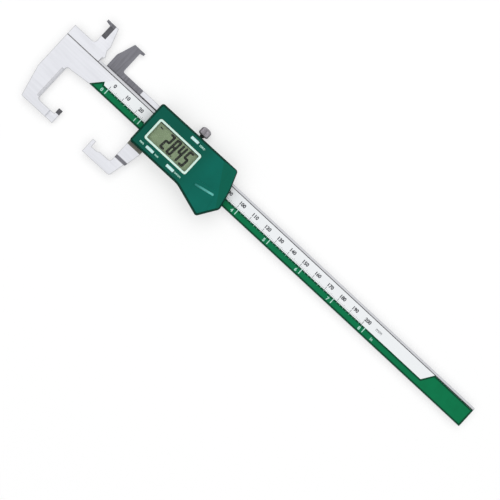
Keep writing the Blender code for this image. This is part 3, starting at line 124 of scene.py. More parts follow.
class CaliperColours(bpy.types.PropertyGroup):
    """Colours that a user would change."""

    steel: colour("Steel", "The beam and the bright jaws", (202, 203, 208))
    ledge: colour("Ledge", "The beam's lower edge beside the scale", (186, 187, 191))
    # Painted shade: the narrow bands round the steel's flat faces are darker, standing in for the shade on
    # their rounded edges
    edge_steel: colour("Steel edges", "The narrow edges round the steel's faces", (180, 180, 183))
    # Painted shade: this darker steel stands on the slider's recessed arm and upper jaw and in the grooves,
    # where shade falls
    ground_steel: colour("Ground steel", "The slider's upper jaw and arm", (116, 116, 122))
    shaded_steel: colour("Shaded steel", "The fixed jaws' recessed faces and grooves", (92, 92, 96))
    # Painted shadow: the housing's shadow on the slider's leg, just below the housing
    root_steel: colour("Jaw roots", "The slider's leg where it leaves the housing", (110, 110, 102))
    screw_steel: colour("Screws", "The screws and the lock screw", (150, 146, 152))
    housing: colour("Housing", "The moulded housing round the display", (0, 87, 72))
    housing_lobe: colour("Housing's lobe", "The moulded housing over the battery", (0, 101, 87))
    # Painted shade: the housing's rim and side walls are darker, as they turn away from the light
    housing_side: colour("Housing's sides", "The housing's rim and side walls", (6, 64, 50))
    # Painted shade: the tilted facet is coloured apart for the shading its slope gets
    facet: colour("Facet", "The sloping facet at the housing's right end", (0, 95, 77))
    # Painted highlight: the battery cover's ridge is paler than the moulding, brightest towards its right end
    ridge: colour("Ridge", "The battery cover's ridge at its less worn end", (34, 132, 122))
    ridge_worn: colour("Worn ridge", "The ridge where the thumb has worn it", (96, 186, 176))
    bezel: colour("Bezel", "The frame round the display", (210, 238, 226))
    keys: colour("Keys", "The three keys", (196, 232, 228))
    display: colour("Display", "The display's background", (134, 154, 118))
    digits: colour("Digits", "The display's digits", (8, 12, 2))
    # Painted shadow: the bezel's shadow on the display along its upper edge
    mask: colour("Display's mask", "The dark strip along the display's upper edge", (44, 60, 40))
    scale_green: colour("Scale green", "The scale's coloured band", (0, 116, 72))
    scale_line: colour("Scale line", "The darker lines along the coloured band", (0, 70, 44))
    scale_white: colour("Scale white", "The scale's pale ground", (236, 239, 241))
    dark_ink: colour("Dark ink", "The metric marks and numbers", (72, 74, 80))
    pale_ink: colour("Pale ink", "The inch marks and the letters beside the keys", (176, 222, 208))


# Shader node groups and materials

VECTOR, COLOUR, VALUE = "NodeSocketVector", "NodeSocketColor", "NodeSocketFloat"
GREY = (0.5, 0.5, 0.5, 1.0)
BUMP_DISTANCE = 0.00002


def add_node(tree, kind, settings=None, inputs=None):
    """A node with its settings and its inputs, each a value or the socket that feeds it."""
    made = tree.nodes.new(kind)
    for name, value in (settings or {}).items():
        setattr(made, name, value)
    for name, value in (inputs or {}).items():
        socket = made.inputs[name]
        if isinstance(value, bpy.types.NodeSocket):
            tree.links.new(value, socket)
        else:
            socket.default_value = value
    return made


def new_group(name, inputs, outputs):
    """A shader node group with named sockets, and its input and output nodes."""
    group = bpy.data.node_groups.new(name, "ShaderNodeTree")
    for socket_name, kind, default in inputs:
        made = group.interface.new_socket(name=socket_name, in_out="INPUT", socket_type=kind)
        if default is not None:
            made.default_value = default
    for socket_name, kind in outputs:
        group.interface.new_socket(name=socket_name, in_out="OUTPUT", socket_type=kind)
    return group, group.nodes.new("NodeGroupInput"), group.nodes.new("NodeGroupOutput")


def math_node(tree, operation, first, second):
    return add_node(tree, "ShaderNodeMath", {"operation": operation}, {0: first, 1: second}).outputs[0]


def mix_colours(tree, factor, first, second):
    mixed = add_node(tree, "ShaderNodeMix", {"data_type": "RGBA"}, {0: factor, 6: first, 7: second})
    return mixed.outputs[2]


def surface_grain_group():
    """Fine grain: roughness and height that vary along a stretched noise."""
    name = "Surface grain"
    if name in bpy.data.node_groups:
        return bpy.data.node_groups[name]
    group, given, out = new_group(
        name,
        [("Vector", VECTOR, None), ("Scale", VALUE, 1000.0),
         ("Roughness", VALUE, 0.3), ("Variation", VALUE, 0.1)],
        [("Roughness", VALUE), ("Height", VALUE)],
    )
    noise = add_node(group, "ShaderNodeTexNoise", None,
                     {"Vector": given.outputs["Vector"], "Scale": given.outputs["Scale"], "Detail": 4.0,
                      "Roughness": 0.6})
    centred = math_node(group, "SUBTRACT", noise.outputs["Fac"], 0.5)
    varied = math_node(group, "MULTIPLY", centred, given.outputs["Variation"])
    group.links.new(math_node(group, "ADD", varied, given.outputs["Roughness"]), out.inputs["Roughness"])
    group.links.new(noise.outputs["Fac"], out.inputs["Height"])
    return group


def handling_group():
    """Handling: large soft patches where a surface is slightly darker and duller."""
    name = "Handling"
    if name in bpy.data.node_groups:
        return bpy.data.node_groups[name]
    group, given, out = new_group(
        name,
        [("Vector", VECTOR, None), ("Color", COLOUR, GREY),
         ("Amount", VALUE, 0.1), ("Scale", VALUE, 60.0)],
        [("Color", COLOUR), ("Mask", VALUE)],
    )
    noise = add_node(group, "ShaderNodeTexNoise", None,
                     {"Vector": given.outputs["Vector"], "Scale": given.outputs["Scale"], "Detail": 3.0})
    ramp = add_node(group, "ShaderNodeMapRange", None,
                    {"Value": noise.outputs["Fac"], "From Min": 0.4, "From Max": 0.7})
    amount = math_node(group, "MULTIPLY", ramp.outputs["Result"], given.outputs["Amount"])
    shade = add_node(group, "ShaderNodeHueSaturation", None,
                     {"Value": math_node(group, "SUBTRACT", 1.0, amount), "Color": given.outputs["Color"]})
    group.links.new(shade.outputs["Color"], out.inputs["Color"])
    group.links.new(amount, out.inputs["Mask"])
    return group


def edge_wear_group():
    """Edge wear: a paler colour on the most raised edges, broken up by noise."""
    name = "Edge wear"
    if name in bpy.data.node_groups:
        return bpy.data.node_groups[name]
    group, given, out = new_group(
        name,
        [("Vector", VECTOR, None), ("Color", COLOUR, GREY),
         ("Worn", COLOUR, (0.8, 0.8, 0.8, 1.0)), ("Amount", VALUE, 0.5)],
        [("Color", COLOUR)],
    )
    raised = add_node(group, "ShaderNodeNewGeometry").outputs["Pointiness"]
    edge = add_node(group, "ShaderNodeMapRange", None, {"Value": raised, "From Min": 0.52, "From Max": 0.62})
    noise = add_node(group, "ShaderNodeTexNoise", None,
                     {"Vector": given.outputs["Vector"], "Scale": 700.0, "Detail": 5.0})
    broken = math_node(group, "MULTIPLY", edge.outputs["Result"], noise.outputs["Fac"])
    amount = math_node(group, "MULTIPLY", broken, given.outputs["Amount"])
    group.links.new(mix_colours(group, amount, given.outputs["Color"], given.outputs["Worn"]),
                    out.inputs["Color"])
    return group


def colour_drift_group():
    """Colour drift: one colour passing into another along X, with a soft uneven border."""
    name = "Colour drift"
    if name in bpy.data.node_groups:
        return bpy.data.node_groups[name]
    group, given, out = new_group(
        name,
        [("Vector", VECTOR, None), ("First", COLOUR, GREY),
         ("Second", COLOUR, GREY), ("Start", VALUE, 0.0),
         ("End", VALUE, 0.01), ("Unevenness", VALUE, 0.003)],
        [("Color", COLOUR)],
    )
    along = add_node(group, "ShaderNodeSeparateXYZ", None, {"Vector": given.outputs["Vector"]}).outputs["X"]
    noise = add_node(group, "ShaderNodeTexNoise", None,
                     {"Vector": given.outputs["Vector"], "Scale": 90.0, "Detail": 3.0}).outputs["Fac"]
    push = math_node(group, "MULTIPLY", math_node(group, "SUBTRACT", noise, 0.5), given.outputs["Unevenness"])
    ramp = add_node(group, "ShaderNodeMapRange", {"interpolation_type": "SMOOTHSTEP"},
                    {"Value": math_node(group, "ADD", along, push), "From Min": given.outputs["Start"],
                     "From Max": given.outputs["End"]})
    group.links.new(mix_colours(group, ramp.outputs["Result"], given.outputs["First"],
                                given.outputs["Second"]), out.inputs["Color"])
    return group


def add_group(tree, group, inputs):
    return add_node(tree, "ShaderNodeGroup", {"node_tree": group}, inputs)


def surface(name, base, roughness, metallic, grain, grain_scale, variation=0.08, bump=0.02, handling=0.06,
            handling_scale=60.0, worn=None, wear=0.3, alpha=1.0, specular=0.5, second=None, drift=None):
    """A material: a colour with handling and edge wear, and a grain in its roughness and bump."""
    found = bpy.data.materials.get(name)
    if found:
        return found
    made = bpy.data.materials.new(name)
    made.use_nodes = True
    tree = made.node_tree
    shader = tree.nodes["Principled BSDF"]
    place = add_node(tree, "ShaderNodeTexCoord").outputs["Object"]
    stretched = add_node(tree, "ShaderNodeMapping", None, {"Vector": place, "Scale": grain}).outputs["Vector"]
    shown = (*base, 1.0)
    if second is not None:
        shown = add_group(tree, colour_drift_group(), {
            "Vector": place, "First": shown, "Second": (*second, 1.0), "Start": drift[0],
            "End": drift[1]}).outputs["Color"]
    shown = add_group(tree, handling_group(), {
        "Vector": stretched, "Color": shown, "Amount": handling, "Scale": handling_scale}).outputs["Color"]
    if worn is not None:
        shown = add_group(tree, edge_wear_group(), {
            "Vector": place, "Color": shown, "Worn": (*worn, 1.0), "Amount": wear}).outputs["Color"]
    fine = add_group(tree, surface_grain_group(), {
        "Vector": stretched, "Scale": grain_scale, "Roughness": roughness, "Variation": variation})
    bumped = add_node(tree, "ShaderNodeBump", None,
                      {"Height": fine.outputs["Height"], "Strength": bump, "Distance": BUMP_DISTANCE})
    tree.links.new(shown, shader.inputs["Base Color"])
    tree.links.new(fine.outputs["Roughness"], shader.inputs["Roughness"])
    tree.links.new(bumped.outputs["Normal"], shader.inputs["Normal"])
    for socket, value in (("Metallic", metallic), ("Alpha", alpha), ("Specular IOR Level", specular)):
        shader.inputs[socket].default_value = value
    return made


# How the grain is stretched along X, Y and Z
EVEN = (1.0, 1.0, 1.0)
ALONG_BEAM = (0.06, 1.0, 1.0)
ACROSS_BEAM = (1.0, 0.06, 1.0)
ROUND_SCREW = (1.0, 1.0, 0.3)

# Each finish: its colour or the colour's name in the panel, roughness, metallic, the grain's stretch and
# fineness, and what else surface() takes
FINISHES = {
    "satin_beam_steel": ("steel", 0.36, 1.0, ALONG_BEAM, 7000.0, dict(
        variation=0.2, bump=0.14, handling=0.07, handling_scale=700.0, worn=(0.86, 0.86, 0.88), wear=0.2)),
    "ledge_steel": ("ledge", 0.4, 1.0, ALONG_BEAM, 7000.0, dict(
        variation=0.16, bump=0.12, handling_scale=700.0)),
    # Painted shade along the edges of the steel's flat faces
    "steel_edge_shade": ("edge_steel", 0.42, 1.0, EVEN, 6000.0, dict(
        variation=0.16, bump=0.1, handling=0.1, handling_scale=700.0)),
    # Painted shade on the steel's recessed faces and in its grooves
    "recess_shade_steel": ("ground_steel", 0.46, 1.0, ACROSS_BEAM, 5200.0, dict(
        variation=0.24, bump=0.2, handling=0.3, handling_scale=900.0)),
    "shaded_recess_steel": ("shaded_steel", 0.5, 1.0, EVEN, 5200.0, dict(
        variation=0.16, bump=0.12, handling=0.25, handling_scale=600.0)),
    # Painted shadow of the housing on the slider's leg
    "leg_shadow_steel": ("root_steel", 0.5, 1.0, ACROSS_BEAM, 5200.0, dict(
        variation=0.2, bump=0.14, handling=0.2, handling_scale=700.0)),
    "turned_screw_steel": ("screw_steel", 0.34, 1.0, ROUND_SCREW, 4000.0, dict(
        variation=0.12, bump=0.06, handling=0.16, handling_scale=300.0, worn=(0.7, 0.69, 0.7), wear=0.4)),
    # The collar under the lock screw's head is near black
    "near_black_collar": ((0.012, 0.012, 0.014), 0.45, 0.0, EVEN, 4000.0, dict(
        variation=0.1, bump=0.06, specular=0.3)),
    "teal_moulding": ("housing", 0.46, 0.0, EVEN, 5200.0, dict(
        variation=0.12, bump=0.14, handling=0.09, handling_scale=120.0, specular=0.08, second="housing_lobe",
        drift=(READING_EDGE.x + 33.0 * MM, READING_EDGE.x + 46.0 * MM), worn=(0.01, 0.22, 0.19), wear=0.1)),
    # Painted shade on the housing's rim and side walls
    "teal_moulding_side_shade": ("housing_side", 0.5, 0.0, EVEN, 5200.0, dict(
        variation=0.12, bump=0.14, handling=0.12, handling_scale=120.0, specular=0.02)),
    # Painted shade on the sloping facet
    "teal_moulding_facet_shade": ("facet", 0.46, 0.0, EVEN, 5200.0, dict(
        variation=0.12, bump=0.14, handling=0.09, handling_scale=120.0, specular=0.08)),
    # Painted highlight along the ridge, growing brighter towards its right end
    "ridge_painted_highlight": ("ridge", 0.38, 0.0, EVEN, 5200.0, dict(
        variation=0.12, bump=0.1, handling=0.2, handling_scale=260.0, specular=0.2, second="ridge_worn",
        drift=(READING_EDGE.x + 43.0 * MM, READING_EDGE.x + 56.0 * MM))),
    "pale_frame": ("bezel", 0.35, 0.0, EVEN, 4200.0, dict(specular=0.35)),
    "pale_key": ("keys", 0.42, 0.0, EVEN, 3600.0, dict(bump=0.08, specular=0.35)),
    "moulded_black": ((0.02, 0.02, 0.022), 0.5, 0.0, EVEN, 3600.0, dict(bump=0.08)),
    "moulded_white": ((0.78, 0.78, 0.75), 0.5, 0.0, EVEN, 3600.0, dict(bump=0.08)),
    "film_white": ("scale_white", 0.5, 0.0, EVEN, 6000.0, dict(bump=0.04, handling=0.02, specular=0.2)),
    "film_green": ("scale_green", 0.48, 0.0, EVEN, 6000.0, dict(
        bump=0.04, handling=0.1, handling_scale=200.0, specular=0.08)),
    "film_green_line": ("scale_line", 0.48, 0.0, EVEN, 6000.0, dict(bump=0.04, specular=0.08)),
    "dark_ink": ("dark_ink", 0.55, 0.0, EVEN, 6000.0, dict(handling=0.2, handling_scale=900.0, specular=0.2)),
    "pale_ink": ("pale_ink", 0.55, 0.0, EVEN, 6000.0, dict(
        handling=0.12, handling_scale=900.0, specular=0.2)),
    "display_ground": ("display", 0.4, 0.0, EVEN, 9000.0, dict(
        bump=0.03, handling=0.14, handling_scale=160.0, specular=0.2)),
    "display_bars": ("digits", 0.4, 0.0, EVEN, 6000.0, dict(specular=0.15)),
    # Painted shadow of the bezel on the display
    "display_shadow_strip": ("mask", 0.4, 0.0, EVEN, 6000.0, dict(specular=0.15)),
    "clear_cover": ((0.2, 0.24, 0.2), 0.06, 0.0, EVEN, 800.0, dict(
        variation=0.02, bump=0.0, handling=0.02, alpha=0.06)),
    "rolled_brass": ((0.68, 0.47, 0.17), 0.32, 1.0, ALONG_BEAM, 7000.0, dict(variation=0.2, bump=0.1)),
    "board_green": ((0.01, 0.13, 0.05), 0.35, 0.0, EVEN, 2500.0, dict(bump=0.1)),
    "striped_rubber": ((0.45, 0.17, 0.15), 0.75, 0.0, EVEN, 3000.0, dict(bump=0.15)),
    "plated_spring": ((0.72, 0.68, 0.52), 0.3, 1.0, ACROSS_BEAM, 6000.0, dict(variation=0.15, bump=0.06)),
}


def palette(value):
    """The panel's colour where a value is a colour's name, else the value itself."""
    return getattr(bpy.context.scene.caliper_colours, value) if isinstance(value, str) else value


def finish(name):
    """The material of a finish."""
    *values, others = FINISHES[name]
    return surface(name, *map(palette, values), **{key: palette(value) for key, value in others.items()})


# Modelling


def bevel(build, chosen, width, segments, affect="EDGES", clamp=True):
    """Rounds the chosen edges or corners by a width in metres."""
    bmesh.ops.bevel(build, geom=chosen, offset=width, offset_type="OFFSET", segments=segments, profile=0.5,
                    affect=affect, clamp_overlap=clamp, material=-1)


def raise_faces(build, height):
    """Extrudes flat faces upwards into a solid."""
    raised = bmesh.ops.extrude_face_region(build, geom=build.faces[:])
    moved = [item for item in raised["geom"] if isinstance(item, bmesh.types.BMVert)]
    bmesh.ops.translate(build, verts=moved, vec=(0.0, 0.0, height))
    bmesh.ops.recalc_face_normals(build, faces=build.faces[:])
    return build


def new_mesh(name, build):
    """A mesh with a shape, which is used up."""
    mesh = bpy.data.meshes.new(name)
    build.to_mesh(mesh)
    build.free()
    return mesh


def new_object(name, data):
    """An object that is in the scene."""
    made = bpy.data.objects.new(name, data)
    bpy.context.scene.collection.objects.link(made)
    return made


def outline_face(build, corners, height, datum, steps=8):
    """One flat face through corners given as (x, y) or (x, y, radius), its corners rounded."""
    verts = [build.verts.new(Vector((corner[0] * MM, corner[1] * MM, height * MM)) + datum)
             for corner in corners]
    build.faces.new(verts)
    for index, corner in enumerate(corners):
        if len(corner) > 2 and corner[2] > 0:
            here = Vector(corner[:2])
            before = Vector(corners[index - 1][:2]) - here
            after = Vector(corners[(index + 1) % len(corners)][:2]) - here
            reach = corner[2] / math.tan(before.angle(after) / 2)
            reach = min(reach, 0.48 * before.length, 0.48 * after.length)
            bevel(build, [verts[index]], reach * MM, steps, "VERTICES", clamp=False)
    return build


def plate(corners, low, high, datum, steps=8):
    """A solid plate of an outline, between two heights in millimetres."""
    build = bmesh.new()
    outline_face(build, corners, low, datum, steps)
    return raise_faces(build, (high - low) * MM)


def block(low, high, datum=Vector()):
    """A solid block between two corners in millimetres."""
    build = bmesh.new()
    size = (Vector(high) - Vector(low)) * MM
    centre = (Vector(high) + Vector(low)) * MM / 2 + datum
    bmesh.ops.create_cube(build, size=1.0, matrix=Matrix.Translation(centre) @ Matrix.Diagonal((*size, 1.0)))
    return build


def round_bar(centre, radius, low, high, datum=Vector(), segments=32, axis="Z"):
    """A solid round bar between two places along its axis, in millimetres."""
    build = bmesh.new()
    turn = Matrix.Rotation(math.radians(-90.0), 4, "X") if axis == "Y" else Matrix.Identity(4)
    middle = (low + high) / 2
    offset = (centre[0], middle, centre[1]) if axis == "Y" else (centre[0], centre[1], middle)
    place = Matrix.Translation(Vector(offset) * MM + datum) @ turn
    bmesh.ops.create_cone(build, cap_ends=True, segments=segments, radius1=radius * MM, radius2=radius * MM,
                          depth=(high - low) * MM, matrix=place)
    return build


def grown(corners, distance):
    """The corners of an anticlockwise outline with each side moved outwards, in millimetres."""
    moved = []
    for index, corner in enumerate(corners):
        here = Vector(corner[:2])
        before = (here - Vector(corners[index - 1][:2])).normalized()
        after = (Vector(corners[(index + 1) % len(corners)][:2]) - here).normalized()
        outwards = Vector((before.y + after.y, -before.x - after.x)).normalized()
        reach = distance / max(0.2, outwards.dot(Vector((before.y, -before.x))))
        radius = [max(0.0, corner[2] + distance)] if len(corner) > 2 else []
        moved.append((here.x + outwards.x * reach, here.y + outwards.y * reach, *radius))
    return moved


def rectangle(left, right, bottom, top, radius=0.0):
    return [(left, bottom, radius), (right, bottom, radius), (right, top, radius), (left, top, radius)]


def carve(build, tools, operation="DIFFERENCE"):
    """The solid after each tool is taken from it or joined to it. The tools are used up."""
    holders = []
    for number, shape in enumerate([build, *tools]):
        mesh = new_mesh(f"carving_{number}", shape)
        holders.append(new_object(mesh.name, mesh))
    body = holders[0]
    for tool in holders[1:]:
        modifier = body.modifiers.new("carve", "BOOLEAN")
        modifier.operation = operation
        modifier.object = tool
        modifier.solver = "EXACT"
    evaluated = body.evaluated_get(bpy.context.evaluated_depsgraph_get())
    mesh = bpy.data.meshes.new_from_object(evaluated)
    result = bmesh.new()
    result.from_mesh(mesh)
    bpy.data.meshes.remove(mesh)
    for holder in holders:
        spent = holder.data
        bpy.data.objects.remove(holder)
        bpy.data.meshes.remove(spent)
    return whole_faces(result)


def whole_faces(build):
    """Merges doubled points and joins the triangles of each flat face."""
    bmesh.ops.remove_doubles(build, verts=build.verts[:], dist=MERGE)
    bmesh.ops.dissolve_limit(build, angle_limit=FLAT, verts=build.verts[:], edges=build.edges[:],
                             delimit={"NORMAL"})
    return build


def node_shape(name):
    """A copy of a node of the frame, with whole faces."""
    build = bmesh.new()
    build.from_mesh(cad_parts[name].data)
    return whole_faces(build)


def break_edges(build, width, segments=2, angle=35.0, chosen=None):
    """Rounds the sharp outer edges of a solid, or those of them that are chosen."""
    limit = math.radians(angle)
    edges = [edge for edge in build.edges if edge.is_manifold and edge.calc_face_angle(0.0) > limit
             and (chosen is None or chosen(edge))]
    bevel(build, edges, width, segments)
    return build


def piece(name, build, body, slot, *finishes, replaces=(), crease=32.0):
    """A finished piece of the object, from its solid and the names of its finishes."""
    mesh = new_mesh(name, build)
    for made in finishes:
        mesh.materials.append(finish(made))
    mesh.shade_smooth()
    mesh.set_sharp_from_angle(angle=math.radians(crease))
    obj = new_object(name, mesh)
    weighted = obj.modifiers.new("even_shading", "WEIGHTED_NORMAL")
    weighted.keep_sharp = True
    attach(obj, body)
    if replaces:
        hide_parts(*replaces)
    return obj


def join_shapes(target, *others):
    """Adds the shapes of the others to the target. The others are used up."""
    for other in others:
        mesh = new_mesh("joined", other)
        target.from_mesh(mesh)
        bpy.data.meshes.remove(mesh)
    return target


def sizes():
    return bpy.context.scene.caliper_sizes


def in_mm(point, datum):
    """A point as millimetres from a datum."""
    return (point - datum) / MM


def box_in_mm(name):
    """The low and high corners of a node's box, in millimetres from the reading edge."""
    return [in_mm(corner, READING_EDGE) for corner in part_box(name)]


def levels(name):
    """The heights of a node's bottom and top, in millimetres."""
    return [corner.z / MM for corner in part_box(name)]


def middle_of(name):
    """The middle of a node's box in X and Y, in millimetres from the reading edge."""
    low, high = box_in_mm(name)
    return tuple(((low + high) / 2).xy)


def edge_band(build, width, index, chosen):
    """Divides off a narrow band along the borders of the chosen faces, and gives it a finish: painted shade
    along the steel's edges.
    """
    band = bmesh.ops.inset_region(build, faces=[face for face in build.faces if chosen(face)],
                                  thickness=width, use_even_offset=True)
    for face in band["faces"]:
        face.material_index = index


def score(build, point, normal, datum):
    """Divides the faces along a plane, so that a finish can end there. The shape stays."""
    geometry = build.verts[:] + build.edges[:] + build.faces[:]
    bmesh.ops.bisect_plane(build, geom=geometry, plane_co=Vector(point) * MM + datum, plane_no=normal,
                           dist=MERGE)
    return build


def paint(build, index, datum, chosen, keep=None):
    """Gives a finish to the faces that a test chooses by their centre in millimetres and their normal."""
    for face in build.faces:
        if face.material_index != keep and chosen(in_mm(face.calc_center_median(), datum), face.normal):
            face.material_index = index


# Heights in millimetres, as the frame has them
BEAM_TOP = BEAM_HIGH.z / MM
FILM_TOP = FILM_HIGH.z / MM
BEZEL_ABOVE_HOUSING = 0.25
HOUSING_TOP = levels("display_bezel")[1] - BEZEL_ABOVE_HOUSING
HOUSING_BOTTOM = COVER_LOW.z / MM
REAR_HALF_TOP = 3.4
WALL_TOP = 5.7
CAVITY_TOP = 12.9
# From where up the steel's faces show from the front
FRONT_FROM = 2.5
# A face whose normal has more than this of Z looks up, and one that lies flat has more than the other
LOOKS_UP = 0.2
LIES_FLAT = 0.99

# Where the beam's finishes change, in millimetres from the zero mark
LEDGE_FROM = 12.45
LEDGE_LEFT = -15.0
BLADE_POCKET_RIGHT = -20.6
BLADE_POCKET_BOTTOM = 24.8
HOOK_FROM = 32.6
FOOT_TIP_LEFT = -13.6
FOOT_TIP_SHADED = (-25.2, -21.0)
FOOT_STEP = (-17.4, -15.8)
FOOT_STEP_TOP = -25.5
# Width of the band of painted shade round the steel's flat faces
EDGE_SHADE_BAND = 0.3
GROOVE_MIDDLE = 12.6
GROOVE_HALF = 0.16
GROOVE_SURROUND = 0.4
GROOVE_LOW = BEAM_TOP - 1.2


ALONG, ACROSS = (1.0, 0.0, 0.0), (0.0, 1.0, 0.0)


class CALIPER_OT_beam(bpy.types.Operator):
    """Beam with its two fixed jaws, and the stop under its far end"""

    bl_idname = "caliper.add_beam"
    bl_label = "Beam"

    def execute(self, context):
        width = sizes().steel_edge
        beam = break_edges(node_shape("beam"), width, chosen=self.outer)
        # A narrow band round each flat face takes painted shade
        edge_band(beam, EDGE_SHADE_BAND * MM, 4, lambda face: face.normal.z > LIES_FLAT)
        score(beam, (0.0, BLADE_POCKET_BOTTOM, 0.0), ACROSS, ZERO_MARK)
        score(beam, (BLADE_POCKET_RIGHT, 0.0, 0.0), ALONG, ZERO_MARK)
        score(beam, (0.0, HOOK_FROM, 0.0), ACROSS, ZERO_MARK)
        score(beam, (0.0, FOOT_TIP_SHADED[0], 0.0), ACROSS, ZERO_MARK)
        paint(beam, 1, ZERO_MARK, lambda place, normal: place.x > LEDGE_LEFT and place.y > LEDGE_FROM
              and normal.z > LOOKS_UP, keep=4)
        # The foot's step keeps the plain steel, without the painted edge shade
        paint(beam, 0, ZERO_MARK, lambda place, normal: FOOT_STEP[0] < place.x < FOOT_STEP[1]
              and place.y < FOOT_STEP_TOP)
        paint(beam, 2, ZERO_MARK, self.shaded)
        # The fine groove and the blade's hook take painted shade
        paint(beam, 3, ZERO_MARK, self.groove)
        paint(beam, 3, ZERO_MARK, lambda place, normal: place.x < BLADE_POCKET_RIGHT and place.y > HOOK_FROM)
        piece("beam_steel", beam, "beam", "brushed_steel", "satin_beam_steel", "ledge_steel",
              "shaded_recess_steel", "recess_shade_steel", "steel_edge_shade", replaces=["beam"])
        stop = break_edges(node_shape("end_stop"), width)
        piece("end_stop_plate", stop, "beam", "ground_steel", "satin_beam_steel", replaces=["end_stop"])
        return {"FINISHED"}

    def outer(self, edge):
        """The beam's edges apart from those of the fine groove."""
        return all(abs(in_mm(vert.co, ZERO_MARK).y - GROOVE_MIDDLE) > GROOVE_SURROUND for vert in edge.verts)

    def groove(self, place, normal):
        return abs(place.y - GROOVE_MIDDLE) < GROOVE_HALF and GROOVE_LOW < place.z < BEAM_TOP - 0.1

    def shaded(self, place, normal):
        """The blade's pocket and hook, and the foot's tip."""
        if place.z < FRONT_FROM or normal.z < -LOOKS_UP:
            return False
        blade = place.x < BLADE_POCKET_RIGHT and place.y > BLADE_POCKET_BOTTOM
        tip = FOOT_TIP_LEFT < place.x < 0.0 and FOOT_TIP_SHADED[0] < place.y < FOOT_TIP_SHADED[1]
        return blade or tip


FILM_LEFT, FILM_BOTTOM = in_mm(FILM_LOW, ZERO_MARK).xy
FILM_RIGHT, FILM_EDGE = in_mm(FILM_HIGH, ZERO_MARK).xy
FILM_OUTLINE = [
    (FILM_LEFT, FILM_BOTTOM), (FILM_RIGHT, FILM_BOTTOM), (FILM_RIGHT, FILM_EDGE),
    (FILM_LEFT + 10.8, FILM_EDGE),
]
BAND_TOP = 5.1
BAND_OUTLINE = [
    (FILM_LEFT, FILM_BOTTOM), (FILM_RIGHT, FILM_BOTTOM), (FILM_RIGHT, FILM_EDGE), (252.8, FILM_EDGE),
    (248.0, BAND_TOP), (-3.4, BAND_TOP), (-4.5, 7.0),
]
BAND_LINE = 1.05
SCALE_LENGTH = 200
NUMBER_STEP = 10
INCH = 25.4
INCHES = 8
# How far the numbers stand to the right of their marks, and where the lines of numbers lie
NUMBER_OFFSET = 1.7
NUMBER_LINE = 9.05
INCH_NUMBER_OFFSET = -2.8
INCH_NUMBER_LINE = 2.6
# Where the marks end: whole ones, halves, and the others
METRIC_TOPS = (7.3, 6.7, 6.2)
INCH_BOTTOMS = (1.7, 3.9, 4.3)
# How many times as wide as the others the whole marks are
METRIC_WHOLE, INCH_WHOLE = 2.2, 4.0
GLYPH_MERGE = 0.0001


def lettering(text, height, middle, level, thickness, boldness=0.0, datum=Vector()):
    """The solid of a line of text, centred on a place, its height and places in millimetres."""
    curve = bpy.data.curves.new("lettering", "FONT")
    curve.body = text
    curve.resolution_u = 3
    curve.offset = boldness
    holder = new_object("lettering", curve)
    mesh = bpy.data.meshes.new_from_object(holder.evaluated_get(bpy.context.evaluated_depsgraph_get()))
    bpy.data.objects.remove(holder)
    bpy.data.curves.remove(curve)
    build = bmesh.new()
    build.from_mesh(mesh)
    bpy.data.meshes.remove(mesh)
    bmesh.ops.remove_doubles(build, verts=build.verts[:], dist=GLYPH_MERGE)
    raise_faces(build, 1.0)
    low = Vector([min(vert.co[axis] for vert in build.verts) for axis in range(3)])
    high = Vector([max(vert.co[axis] for vert in build.verts) for axis in range(3)])
    scale = height / (high.y - low.y)
    centre = (low + high) / 2
    place = Matrix.Translation((*middle, level)) @ Matrix.Diagonal((scale, scale, thickness, 1.0))
    place = place @ Matrix.Translation((-centre.x, -centre.y, 0.0))
    build.transform(Matrix.Translation(datum) @ Matrix.Diagonal((MM, MM, MM, 1.0)) @ place)
    return build


def mark_end(number, ends):
    """Where a mark ends, by its place among ten."""
    return ends[0] if number % 10 == 0 else ends[1] if number % 5 == 0 else ends[2]


